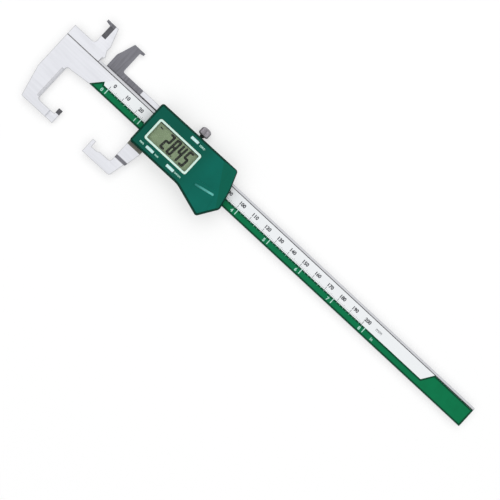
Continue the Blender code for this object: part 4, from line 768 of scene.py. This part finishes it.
class CALIPER_OT_scale(bpy.types.Operator):
    """Printed film on the beam: pale ground, coloured band, marks and numbers"""

    bl_idname = "caliper.add_scale"
    bl_label = "Scale"

    def execute(self, context):
        ink = sizes().ink_thickness / MM
        film = plate(FILM_OUTLINE, FILM_LOW.z / MM, FILM_TOP - ink, ZERO_MARK)
        piece("scale_film_ground", film, "beam", "scale_print", "film_white", replaces=["scale_film"])
        lines = plate(BAND_OUTLINE, FILM_TOP - ink * 1.5, FILM_TOP - ink * 0.8, ZERO_MARK)
        piece("scale_band_lines", lines, "beam", "scale_print", "film_green_line")
        band = plate(grown(BAND_OUTLINE, -BAND_LINE), FILM_TOP - ink * 1.5, FILM_TOP - ink * 0.5, ZERO_MARK)
        piece("scale_band", band, "beam", "scale_print", "film_green")
        self.metric(FILM_TOP - ink * 1.5, FILM_TOP - ink * 0.4)
        self.inches(FILM_TOP - ink * 1.5, FILM_TOP)
        return {"FINISHED"}

    def metric(self, low, high):
        half = sizes().tick_width / MM / 2
        height = sizes().number_height / MM
        marks = bmesh.new()
        for number in range(SCALE_LENGTH + 1):
            side = half * METRIC_WHOLE if number % NUMBER_STEP == 0 else half
            join_shapes(marks, block((number - side, BAND_TOP + 0.1, low),
                                     (number + side, mark_end(number, METRIC_TOPS), high), ZERO_MARK))
        for number in range(0, SCALE_LENGTH + 1, NUMBER_STEP):
            join_shapes(marks, lettering(str(number), height, (number + NUMBER_OFFSET, NUMBER_LINE), low,
                                         high - low, 0.045, ZERO_MARK))
        join_shapes(marks, lettering("mm", height * 0.6, (210.7, NUMBER_LINE - 0.3), low, high - low, 0.0,
                                     ZERO_MARK))
        piece("scale_marks_metric", marks, "beam", "scale_print", "dark_ink")

    def inches(self, low, high):
        half = sizes().tick_width / MM / 2
        height = sizes().number_height / MM * 0.92
        marks = bmesh.new()
        for number in range(INCHES * 10 + 1):
            place = number * INCH / 10
            side = half * INCH_WHOLE if number % 10 == 0 else half
            join_shapes(marks, block((place - side, mark_end(number, INCH_BOTTOMS), low),
                                     (place + side, BAND_TOP - 0.05, high), ZERO_MARK))
        for number in range(INCHES + 1):
            join_shapes(marks, lettering(str(number), height,
                                         (number * INCH + INCH_NUMBER_OFFSET, INCH_NUMBER_LINE), low,
                                         high - low, 0.04, ZERO_MARK))
        join_shapes(marks, lettering("in", height * 0.8, (210.3, INCH_NUMBER_LINE), low, high - low, 0.02,
                                     ZERO_MARK))
        piece("scale_marks_inch", marks, "beam", "scale_print", "pale_ink")


ARM_FROM = 14.0
ARM_END = 1.2
ARM_SHADE_TOP = 15.1
ARM_SHADE_LEFT = -13.5
# Where the painted shadow of the housing on the leg ends
ROOT_END = -10.2
ROOT_RIGHT = 14.0
LEG_GROOVE = (-20.85, -18.85)
LEG_GROOVE_END = 12.0


class CALIPER_OT_slider_frame(bpy.types.Operator):
    """Slider's steel frame with its arm and its two jaws"""

    bl_idname = "caliper.add_slider_frame"
    bl_label = "Slider frame"

    def execute(self, context):
        made = break_edges(node_shape("slider_frame"), sizes().steel_edge)
        # A narrow band round each flat face takes painted shade
        edge_band(made, EDGE_SHADE_BAND * MM, 4, lambda face: face.normal.z > LIES_FLAT)
        for height in (ARM_SHADE_TOP, ROOT_END):
            score(made, (0.0, height, 0.0), ACROSS, READING_EDGE)
        # The arm's recessed rear half and the leg's groove take painted shade
        paint(made, 1, READING_EDGE, lambda place, normal: place.y > ARM_FROM and place.x < ARM_END
              and REAR_HALF_TOP - 0.5 < place.z < REAR_HALF_TOP + 0.1 and normal.z > LOOKS_UP)
        paint(made, 1, READING_EDGE, lambda place, normal: LEG_GROOVE[0] < place.y < LEG_GROOVE[1]
              and BEAM_TOP - 0.8 < place.z < BEAM_TOP - 0.1 and normal.z > 0.9 and place.x < LEG_GROOVE_END)
        paint(made, 2, READING_EDGE, lambda place, normal: ARM_FROM < place.y < ARM_SHADE_TOP
              and ARM_SHADE_LEFT < place.x < ARM_END and place.z > FRONT_FROM and normal.z > LOOKS_UP)
        # The leg just below the housing takes the painted shadow
        paint(made, 3, READING_EDGE, lambda place, normal: ROOT_END < place.y < 0.0 and place.z > FRONT_FROM
              and place.x < ROOT_RIGHT and normal.z > LOOKS_UP)
        piece("slider_steel", made, "slider", "brushed_steel", "satin_beam_steel", "recess_shade_steel",
              "shaded_recess_steel", "leg_shadow_steel", "steel_edge_shade", replaces=["slider_frame"])
        return {"FINISHED"}


HOUSING_OUTLINE = [
    (0.0, -8.1, 1.6), (37.0, -8.1, 12.0), (57.1, -14.3, 1.6), (64.9, -2.2, 3.0), (62.2, 9.2, 12.0),
    (57.6, 21.2, 2.0), (0.0, 20.6, 1.6),
]
FACET_START = (49.0, 18.0)
FACET_ANGLE = math.radians(-57.3)
FACET_TILT = math.radians(8.5)
FACET_NORMAL = Matrix.Rotation(FACET_ANGLE, 3, "Z") @ Matrix.Rotation(-FACET_TILT, 3, "X") @ Vector((0, 0, 1))
BEZEL_WIDTH = 1.3
BEZEL_LOW, BEZEL_HIGH = box_in_mm("display_bezel")
WINDOW = (BEZEL_LOW.x + BEZEL_WIDTH, BEZEL_HIGH.x - BEZEL_WIDTH, BEZEL_LOW.y + BEZEL_WIDTH,
          BEZEL_HIGH.y - BEZEL_WIDTH)
KEY_HALF = (2.8, 0.9)
KEYS = {name: middle_of(name) for name in ("units_key", "power_key", "zero_key")}
SCREW_PLACES = [middle_of(f"cover_screw_{number}") for number in range(1, 5)]
LABELS = (("mm", 6.4, -4.2), ("inch", 17.7, -4.1), ("OFF/ON", 33.6, -4.1), ("ZERO", 33.5, 17.0))
LABEL_SHARE = {"mm": 0.85, "OFF/ON": 0.85}
DOOR_PLACE = (50.6, 0.2)
DOOR_TURN = math.radians(11.9)
DOOR_HALF_WIDTH = 6.8
DOOR_TOP = 3.0
DOOR_GAP = 0.05
DOOR_TONGUE = 0.6
DOOR_BEYOND = -40.0
DOOR_CUT_BELOW = 0.1
HOUSING_WALL = 2.0
RIM_TOP_ROUNDING, RIM_FOOT_ROUNDING = 0.3 * MM, 0.4 * MM
BOSS_RADIUS, SCREW_HOLE_RADIUS, SCREW_HOLE_TOP = 1.8, 1.0, 11.1
FRAME_GAP = 0.3
# Holes in the upper side wall: (place along the housing, radius), for the lock screw and the gib's screws
SIDE_HOLES = ((28.85, 1.15), (15.0, 1.3), (46.0, 1.3))
SIDE_HOLE_HEIGHT = 3.55
SIDE_HOLE_REACH = (18.4, 23.5)
RIDGE_HALF = (6.25, 0.7)
RIDGE_RISE = 0.5


def rim_edges(level):
    """A test for the edges that lie at a height."""
    return lambda edge: all(abs(vert.co.z - level * MM) < MERGE * 5 for vert in edge.verts)


def housing_skin():
    """The outer form of the housing, before it is hollowed: side walls, sloping rim and flat top."""
    size = sizes()
    shoulder = HOUSING_TOP - size.rim_fall / MM
    build = plate(HOUSING_OUTLINE, HOUSING_BOTTOM, shoulder, READING_EDGE)
    top = [face for face in build.faces if face.normal.z > 0.9]
    bmesh.ops.inset_region(build, faces=top, thickness=size.rim_width, depth=size.rim_fall,
                           use_even_offset=True)
    for level, rounding in ((HOUSING_TOP, RIM_TOP_ROUNDING), (shoulder, RIM_FOOT_ROUNDING)):
        bevel(build, [edge for edge in build.edges if rim_edges(level)(edge)], rounding, 4, clamp=False)
    place = Vector((FACET_START[0] * MM, FACET_START[1] * MM, HOUSING_TOP * MM)) + READING_EDGE
    geometry = build.verts[:] + build.edges[:] + build.faces[:]
    cut = bmesh.ops.bisect_plane(build, geom=geometry, plane_co=place, plane_no=FACET_NORMAL,
                                 clear_outer=True, dist=MERGE)
    loop = [item for item in cut["geom_cut"] if isinstance(item, bmesh.types.BMEdge)]
    bmesh.ops.holes_fill(build, edges=loop, sides=0)
    bmesh.ops.recalc_face_normals(build, faces=build.faces[:])
    return build


def paint_housing(build):
    """The side walls and the rim take painted shade, darker than the top, and the facet a painted shade of
    its own.
    """
    # Faces that do not look straight up take the painted shade
    paint(build, 1, READING_EDGE, lambda place, normal: abs(normal.z) < 0.98)
    # The facet takes its painted shade
    paint(build, 2, READING_EDGE, lambda place, normal: normal.dot(FACET_NORMAL) > 0.9999
          and place.z > CAVITY_TOP)
    return build


def in_door_place(build):
    """A shape drawn with X along the battery cover's ridge, moved to its place."""
    centre = Vector((DOOR_PLACE[0] * MM, DOOR_PLACE[1] * MM, 0.0)) + READING_EDGE
    build.transform(Matrix.Translation(centre) @ Matrix.Rotation(DOOR_TURN, 4, "Z"))
    return build


def key_shape(place, grow, low, high, radius=0.4):
    return plate(rectangle(place[0] - KEY_HALF[0] - grow, place[0] + KEY_HALF[0] + grow,
                           place[1] - KEY_HALF[1] - grow, place[1] + KEY_HALF[1] + grow, radius + grow),
                 low, high, READING_EDGE, 4)


def window_shape(grow, radius, low, high):
    left, right, bottom, top = WINDOW
    return plate(rectangle(left - grow, right + grow, bottom - grow, top + grow, radius), low, high,
                 READING_EDGE)


class CALIPER_OT_housing(bpy.types.Operator):
    """Moulded housing with its window, key holes, battery opening and letters"""

    bl_idname = "caliper.add_housing"
    bl_label = "Housing"

    def execute(self, context):
        shell = housing_skin()
        above = HOUSING_TOP + 2.0
        cavity = plate(grown(HOUSING_OUTLINE, -HOUSING_WALL), HOUSING_BOTTOM - 2.0, CAVITY_TOP, READING_EDGE)
        shell = carve(shell, [cavity])
        bosses = []
        holes = []
        for place in SCREW_PLACES:
            bottom = HOUSING_BOTTOM if place[1] < 0 else WALL_TOP + FRAME_GAP
            bosses.append(round_bar(place, BOSS_RADIUS, bottom, CAVITY_TOP + 0.4, READING_EDGE))
            holes.append(round_bar(place, SCREW_HOLE_RADIUS, bottom - 2.0, SCREW_HOLE_TOP, READING_EDGE))
        shell = carve(shell, bosses, "UNION")
        slots = [
            block((-2.0, -10.1, 0.0), (2.6, 18.7, WALL_TOP + FRAME_GAP), READING_EDGE),
            block((57.2, -3.6, 0.0), (66.9, 14.5, WALL_TOP + FRAME_GAP), READING_EDGE),
            block((-2.0, -10.1, 0.0), (10.2, -5.6, BEAM_TOP + FRAME_GAP), READING_EDGE),
        ]
        side_holes = [round_bar((place, SIDE_HOLE_HEIGHT), radius, *SIDE_HOLE_REACH, READING_EDGE, 24, "Y")
                      for place, radius in SIDE_HOLES]
        window = [
            window_shape(BEZEL_WIDTH + 0.15, 1.55, HOUSING_TOP - 0.58, above),
            window_shape(0.85, 0.6, CAVITY_TOP - 1.0, above),
        ]
        key_holes = [key_shape(place, 0.15, CAVITY_TOP - 1.0, above) for place in KEYS.values()]
        half = DOOR_HALF_WIDTH + DOOR_GAP
        low, end = CAVITY_TOP - DOOR_CUT_BELOW, DOOR_TOP + DOOR_GAP
        door = [
            in_door_place(block((-half, DOOR_BEYOND, low), (half, end, above))),
            in_door_place(block((-half - DOOR_TONGUE, DOOR_BEYOND, low),
                                (half + DOOR_TONGUE, end, CAVITY_TOP + 0.75))),
        ]
        shell = carve(shell, holes + slots + side_holes + window + key_holes + door)
        paint_housing(shell)
        piece("housing_shell", shell, "slider", "teal_plastic", "teal_moulding", "teal_moulding_side_shade",
              "teal_moulding_facet_shade", replaces=["housing_cover"])
        self.letters()
        return {"FINISHED"}

    def letters(self):
        size = sizes()
        thickness = size.ink_thickness / MM * 2.0
        letters = bmesh.new()
        for text, place_x, place_y in LABELS:
            height = size.label_height / MM * LABEL_SHARE.get(text, 1.0)
            join_shapes(letters, lettering(text, height, (place_x, place_y), HOUSING_TOP - thickness / 2,
                                           thickness, 0.035, READING_EDGE))
        piece("key_letters", letters, "slider", "pale_plastic", "pale_ink")


class CALIPER_OT_battery_cover(bpy.types.Operator):
    """Battery cover with the ridge that the thumb pushes"""

    bl_idname = "caliper.add_battery_cover"
    bl_label = "Battery cover"

    def execute(self, context):
        bottom = CAVITY_TOP + 0.05
        reach = in_door_place(block((-DOOR_HALF_WIDTH, DOOR_BEYOND, bottom),
                                    (DOOR_HALF_WIDTH, DOOR_TOP, 20.0)))
        tongues = in_door_place(block((-DOOR_HALF_WIDTH - DOOR_TONGUE, DOOR_BEYOND, bottom),
                                      (DOOR_HALF_WIDTH + DOOR_TONGUE, DOOR_TOP, bottom + DOOR_TONGUE)))
        form = carve(reach, [tongues], "UNION")
        door = carve(housing_skin(), [form], "INTERSECT")
        length_half, width_half = RIDGE_HALF
        ridge_top = HOUSING_TOP + RIDGE_RISE
        ridge = in_door_place(plate(rectangle(-length_half, length_half, -width_half, width_half, 0.6),
                                    HOUSING_TOP - 0.8, ridge_top, Vector()))
        bevel(ridge, [edge for edge in ridge.edges if rim_edges(ridge_top)(edge)], 0.42 * MM, 5)
        door = carve(door, [ridge], "UNION")
        paint_housing(door)
        # The ridge's top takes the painted highlight
        paint(door, 3, Vector(), lambda place, normal: place.z > HOUSING_TOP + 0.02)
        piece("battery_cover_shell", door, "battery_cover", "teal_plastic", "teal_moulding",
              "teal_moulding_side_shade", "teal_moulding_facet_shade", "ridge_painted_highlight", replaces=["battery_cover"])
        return {"FINISHED"}


PANEL_BEYOND_WINDOW = 0.7
DIGITS_LEFT, DIGITS_BOTTOM = 15.3, 1.35
DIGIT_WIDTH, DIGIT_PITCH = 2.3, 4.75
DIGIT_SLANT = math.radians(4.5)
BAR_DEPTH = 0.04
SEGMENTS = {
    "0": "abcdef", "1": "bc", "2": "abged", "3": "abgcd", "4": "fgbc", "5": "afgcd", "6": "afgedc",
    "7": "abc", "8": "abcdefg", "9": "abcdfg",
}


def digit_bars(symbol, left, width, bottom, height, stroke):
    """The bars of one digit: (start, end) of each, in millimetres."""
    right = left + width
    middle = bottom + height / 2
    top = bottom + height
    gap = stroke * 0.08
    bars = {
        "a": ((left + gap, top), (right - gap, top)),
        "g": ((left + gap, middle), (right - gap, middle)),
        "d": ((left + gap, bottom), (right - gap, bottom)),
        "f": ((left, middle + gap), (left, top - gap)),
        "b": ((right, middle + gap), (right, top - gap)),
        "e": ((left, bottom + gap), (left, middle - gap)),
        "c": ((right, bottom + gap), (right, middle - gap)),
    }
    return [bars[name] for name in SEGMENTS[symbol]]


class CALIPER_OT_display(bpy.types.Operator):
    """Display: bezel, window, panel and digits"""

    bl_idname = "caliper.add_display"
    bl_label = "Display"

    def execute(self, context):
        bezel_bottom, bezel_top = levels("display_bezel")
        ring = carve(window_shape(BEZEL_WIDTH, 1.4, bezel_bottom, bezel_top),
                     [window_shape(0.0, 0.6, bezel_bottom - 2.0, bezel_top + 2.0)])
        break_edges(ring, 0.26 * MM, 4, 50.0, rim_edges(bezel_top))
        piece("bezel_ring", ring, "slider", "pale_plastic", "pale_frame", replaces=["display_bezel"])
        lens = window_shape(PANEL_BEYOND_WINDOW, 0.6, *levels("display_window"))
        break_edges(lens, 0.08 * MM, 2)
        piece("window_lens", lens, "slider", "clear_window", "clear_cover", replaces=["display_window"])
        panel_low, panel_high = levels("display_panel")
        panel = window_shape(PANEL_BEYOND_WINDOW, 0.2, panel_low, panel_high - 0.02)
        piece("panel_glass", panel, "slider", "display_glass", "display_ground", replaces=["display_panel"])
        left, right, top = WINDOW[0], WINDOW[1], WINDOW[3]
        # A dark strip under the window's upper edge: the bezel's painted shadow on the panel
        mask = block((left - 0.6, top - 0.5, panel_high - 0.03), (right + 0.6, top + 0.6, panel_high),
                     READING_EDGE)
        piece("panel_shadow_strip", mask, "slider", "display_glass", "display_shadow_strip")
        self.digits(panel_high)
        return {"FINISHED"}

    def digits(self, level):
        size = sizes()
        stroke = size.digit_stroke / MM
        height = size.digit_height / MM
        left = DIGITS_LEFT
        build = bmesh.new()
        for symbol in size.reading:
            if symbol == ".":
                dot = left - (DIGIT_PITCH - DIGIT_WIDTH) / 2
                join_shapes(build, block((dot - 0.35, DIGITS_BOTTOM - 0.5, level - BAR_DEPTH),
                                         (dot + 0.35, DIGITS_BOTTOM + 0.2, level)))
                continue
            for start, end in digit_bars(symbol, left, DIGIT_WIDTH, DIGITS_BOTTOM, height, stroke):
                join_shapes(build, self.bar(start, end, stroke, level))
            left += DIGIT_PITCH
        join_shapes(build, lettering("mm", 1.0, (8.5, 9.6), level - BAR_DEPTH, BAR_DEPTH, 0.15))
        slant = Matrix.Identity(4)
        slant[0][1] = math.tan(DIGIT_SLANT)
        build.transform(Matrix.Translation(READING_EDGE) @ slant)
        piece("display_digits", build, "slider", "display_glass", "display_bars")

    def bar(self, start, end, stroke, level):
        """One bar of a digit, with its corners cut off."""
        half = stroke / 2
        low = (min(start[0], end[0]) - half, min(start[1], end[1]) - half, level - BAR_DEPTH)
        high = (max(start[0], end[0]) + half, max(start[1], end[1]) + half, level)
        bar = block(low, high)
        upright = [edge for edge in bar.edges if abs(edge.verts[0].co.z - edge.verts[1].co.z) > MERGE]
        bevel(bar, upright, stroke * 0.45 * MM, 1)
        return bar


KEY_CAP_BOTTOM = 12.2
STEM_HALF = 0.7


class CALIPER_OT_keys(bpy.types.Operator):
    """The three keys, each with its flange and stem"""

    bl_idname = "caliper.add_keys"
    bl_label = "Keys"

    def execute(self, context):
        for name, place in KEYS.items():
            low, high = levels(name)
            cap = key_shape(place, 0.0, KEY_CAP_BOTTOM, high)
            break_edges(cap, 0.34 * MM, 5, 50.0, rim_edges(high))
            flange = key_shape(place, 0.6, KEY_CAP_BOTTOM - 0.4, KEY_CAP_BOTTOM + 0.4)
            stem = block((place[0] - STEM_HALF, place[1] - STEM_HALF, low),
                         (place[0] + STEM_HALF, place[1] + STEM_HALF, KEY_CAP_BOTTOM), READING_EDGE)
            key = carve(cap, [flange, stem], "UNION")
            piece(name + "_cap", key, name, "white_plastic", "pale_key", replaces=[name])
        return {"FINISHED"}


HEAD_LENGTH = 5.2
KNURL_SHARE = 0.055


class CALIPER_OT_lock_screw(bpy.types.Operator):
    """Lock screw with its knurled head"""

    bl_idname = "caliper.add_lock_screw"
    bl_label = "Lock screw"

    def execute(self, context):
        low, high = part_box("lock_screw")
        axis = Vector(((low.x + high.x) / 2, 0.0, (low.z + high.z) / 2))
        start, end = low.y / MM, high.y / MM
        head = end - HEAD_LENGTH
        radius = (high.z - low.z) / MM / 2
        profile = [
            (0.0, end), (1.2, end - 0.04), (2.0, end - 0.22), (2.6, end - 0.55), (3.05, end - 1.05),
            (radius, end - 1.6), (radius, head + 0.9), (radius - 0.25, head + 0.3), (radius - 0.8, head),
            (1.5, head), (1.45, head - 0.6), (1.0, head - 1.1), (0.85, head - 1.4), (0.85, start + 0.2),
            (0.65, start), (0.0, start),
        ]
        build = bmesh.new()
        verts = [build.verts.new((axis.x + distance * MM, along * MM, axis.z)) for distance, along in profile]
        edges = [build.edges.new(pair) for pair in zip(verts, verts[1:])]
        teeth = sizes().knurl_teeth
        bmesh.ops.spin(build, geom=verts + edges, cent=axis, axis=(0.0, 1.0, 0.0), angle=math.tau,
                       steps=teeth * 2, use_merge=True)
        bmesh.ops.remove_doubles(build, verts=build.verts[:], dist=MERGE)
        bmesh.ops.recalc_face_normals(build, faces=build.faces[:])
        for vert in build.verts:
            offset = Vector((vert.co.x - axis.x, 0.0, vert.co.z - axis.z))
            column = round((math.atan2(offset.z, offset.x) % math.tau) / (math.pi / teeth)) % 2
            if column and offset.length > (radius - 0.05) * MM:
                vert.co -= offset * KNURL_SHARE
        # The collar under the head takes the near-black finish
        paint(build, 1, Vector(), lambda place, normal: head - 1.5 < place.y < head + 0.02
              and normal.y < 0.3)
        piece("lock_screw_knurled", build, "lock_screw", "ground_steel", "turned_screw_steel",
              "near_black_collar", replaces=["lock_screw"], crease=25.0)
        return {"FINISHED"}


CROSS_SHARE = 0.29
CROSS_HALF = 0.18


class CALIPER_OT_fasteners(bpy.types.Operator):
    """Screws in the back, each with a cross recess"""

    bl_idname = "caliper.add_fasteners"
    bl_label = "Screws"

    def execute(self, context):
        screws = {f"cover_screw_{number}": ("slider", 0.5) for number in range(1, 5)}
        screws.update({f"end_stop_screw_{number}": ("beam", 0.45) for number in (1, 2)})
        for name, (body, depth) in screws.items():
            low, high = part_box(name)
            centre = ((low.x + high.x) / 2 / MM, (low.y + high.y) / 2 / MM)
            bottom = low.z / MM
            arm = (high.x - low.x) / MM * CROSS_SHARE
            recess = [block((centre[0] - across, centre[1] - along, bottom - 1.0),
                            (centre[0] + across, centre[1] + along, bottom + depth))
                      for across, along in ((arm, CROSS_HALF), (CROSS_HALF, arm))]
            made = carve(node_shape(name), [carve(recess[0], [recess[1]], "UNION")])
            piece(name + "_head", made, body, "ground_steel", "turned_screw_steel", replaces=[name])
        return {"FINISHED"}


INNER_FINISHES = {
    "board_green": ("electrode_strip", "circuit_board"),
    "rolled_brass": ("gib_strip",),
    "turned_screw_steel": ("gib_screw_1", "gib_screw_2", "button_cell"),
    "moulded_white": ("display_carrier",),
    "striped_rubber": ("lower_connector", "upper_connector"),
    "moulded_black": ("controller_chip", "units_switch", "power_switch", "zero_switch", "battery_holder"),
    "plated_spring": ("lower_contact", "side_contact"),
}


class CALIPER_OT_inner_pieces(bpy.types.Operator):
    """Finishes of the inner pieces, whose shapes stay as the frame has them"""

    bl_idname = "caliper.finish_inner_pieces"
    bl_label = "Inner pieces"

    def execute(self, context):
        for name, nodes in INNER_FINISHES.items():
            for place in (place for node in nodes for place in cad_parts[node].material_slots):
                place.link = "OBJECT"
                place.material = finish(name)
        return {"FINISHED"}


VIEW_TURN = math.radians(42.8)
VIEW_DISTANCE = 0.7
VIEW_TARGET = Vector((-0.00035, -0.00897, 0.0054))
PIXELS_PER_METRE = 1722.0
PICTURE_SIDE = 500
VIEW_TILT = 0.1057
FLOOR_BELOW = 0.00005
FLOOR_GLOW = 0.5
WORLD_STRENGTH = 0.37
# Each lamp: name, place, size and power
LAMPS = (("overhead_light", (0.0, 0.0, 1.2), 2.8, 19.6), ("key_light", (-0.5, 0.7, 1.1), 0.8, 1.6))


class CALIPER_OT_stage(bpy.types.Operator):
    """Pale floor, soft light and the camera"""

    bl_idname = "caliper.add_stage"
    bl_label = "Stage"

    def execute(self, context):
        scene = context.scene
        self.floor(scene)
        self.lights(scene)
        self.camera(scene)
        scene.view_settings.view_transform = "Standard"
        return {"FINISHED"}

    def floor(self, scene):
        build = bmesh.new()
        bmesh.ops.create_grid(build, x_segments=1, y_segments=1, size=3.0)
        mesh = new_mesh("floor", build)
        floor = new_object("floor", mesh)
        floor.location.z = FRAME_BOUNDS[0].z - FLOOR_BELOW
        made = bpy.data.materials.new("floor_white")
        made.use_nodes = True
        tree = made.node_tree
        tree.nodes.clear()
        path = add_node(tree, "ShaderNodeLightPath")
        direct = math_node(tree, "MAXIMUM", path.outputs["Is Camera Ray"], path.outputs["Is Glossy Ray"])
        seen = math_node(tree, "MAXIMUM", direct, path.outputs["Is Transmission Ray"])
        diffuse = add_node(tree, "ShaderNodeBsdfDiffuse", None, {"Color": GREY})
        glow = add_node(tree, "ShaderNodeEmission", None,
                        {"Strength": math_node(tree, "MULTIPLY", seen, FLOOR_GLOW)})
        both = add_node(tree, "ShaderNodeAddShader", None, {0: diffuse.outputs[0], 1: glow.outputs[0]})
        add_node(tree, "ShaderNodeOutputMaterial", None, {"Surface": both.outputs[0]})
        mesh.materials.append(made)

    def lights(self, scene):
        world = bpy.data.worlds.new("studio")
        world.use_nodes = True
        tree = world.node_tree
        tree.nodes["Background"].inputs["Color"].default_value = (1.0, 1.0, 1.0, 1.0)
        tree.nodes["Background"].inputs["Strength"].default_value = WORLD_STRENGTH
        scene.world = world
        for name, place, size, power in LAMPS:
            lamp = bpy.data.lights.new(name, "AREA")
            lamp.shape = "DISK"
            lamp.size = size
            lamp.energy = power
            holder = new_object(name, lamp)
            holder.location = place
            holder.rotation_mode = "QUATERNION"
            holder.rotation_quaternion = (-Vector(place)).to_track_quat("-Z", "Y")

    def camera(self, scene):
        data = bpy.data.cameras.new("camera")
        data.sensor_width = 36.0
        data.lens = PIXELS_PER_METRE * VIEW_DISTANCE / PICTURE_SIDE * data.sensor_width
        data.clip_start = 0.01
        data.clip_end = 20.0
        tilt = math.asin(VIEW_TILT * VIEW_DISTANCE)
        cosine, sine = math.cos(VIEW_TURN), math.sin(VIEW_TURN)
        flat = Matrix(((cosine, -sine, 0.0), (sine, cosine, 0.0), (0.0, 0.0, 1.0)))
        turn = Matrix.Rotation(-tilt, 3, "Y") @ flat
        camera = new_object("camera", data)
        back = turn @ Vector((0.0, 0.0, 1.0))
        camera.matrix_world = Matrix.Translation(VIEW_TARGET + back * VIEW_DISTANCE) @ turn.to_4x4()
        scene.camera = camera


STEPS = (
    CALIPER_OT_beam, CALIPER_OT_scale, CALIPER_OT_slider_frame, CALIPER_OT_housing,
    CALIPER_OT_battery_cover, CALIPER_OT_display, CALIPER_OT_keys, CALIPER_OT_lock_screw,
    CALIPER_OT_fasteners, CALIPER_OT_inner_pieces, CALIPER_OT_stage,
)


class VIEW3D_PT_caliper(bpy.types.Panel):
    """The caliper's sizes, colours and pieces"""

    bl_label = "Digital groove caliper"
    bl_idname = "VIEW3D_PT_caliper"
    bl_space_type = "VIEW_3D"
    bl_region_type = "UI"
    bl_category = "Caliper"

    def draw(self, context):
        for group in (context.scene.caliper_sizes, context.scene.caliper_colours):
            column = self.layout.column(align=True)
            for name in type(group).__annotations__:
                column.prop(group, name)
        for step in STEPS:
            self.layout.operator(step.bl_idname)


def register():
    for made in (CaliperSizes, CaliperColours, *STEPS, VIEW3D_PT_caliper):
        bpy.utils.register_class(made)
    bpy.types.Scene.caliper_sizes = PointerProperty(type=CaliperSizes)
    bpy.types.Scene.caliper_colours = PointerProperty(type=CaliperColours)


def unregister():
    del bpy.types.Scene.caliper_colours
    del bpy.types.Scene.caliper_sizes
    for made in (VIEW3D_PT_caliper, *reversed(STEPS), CaliperColours, CaliperSizes):
        bpy.utils.unregister_class(made)


def main():
    register()
    for step in STEPS:
        group, name = step.bl_idname.split(".")
        getattr(getattr(bpy.ops, group), name)()


if __name__ == "__main__":
    main()
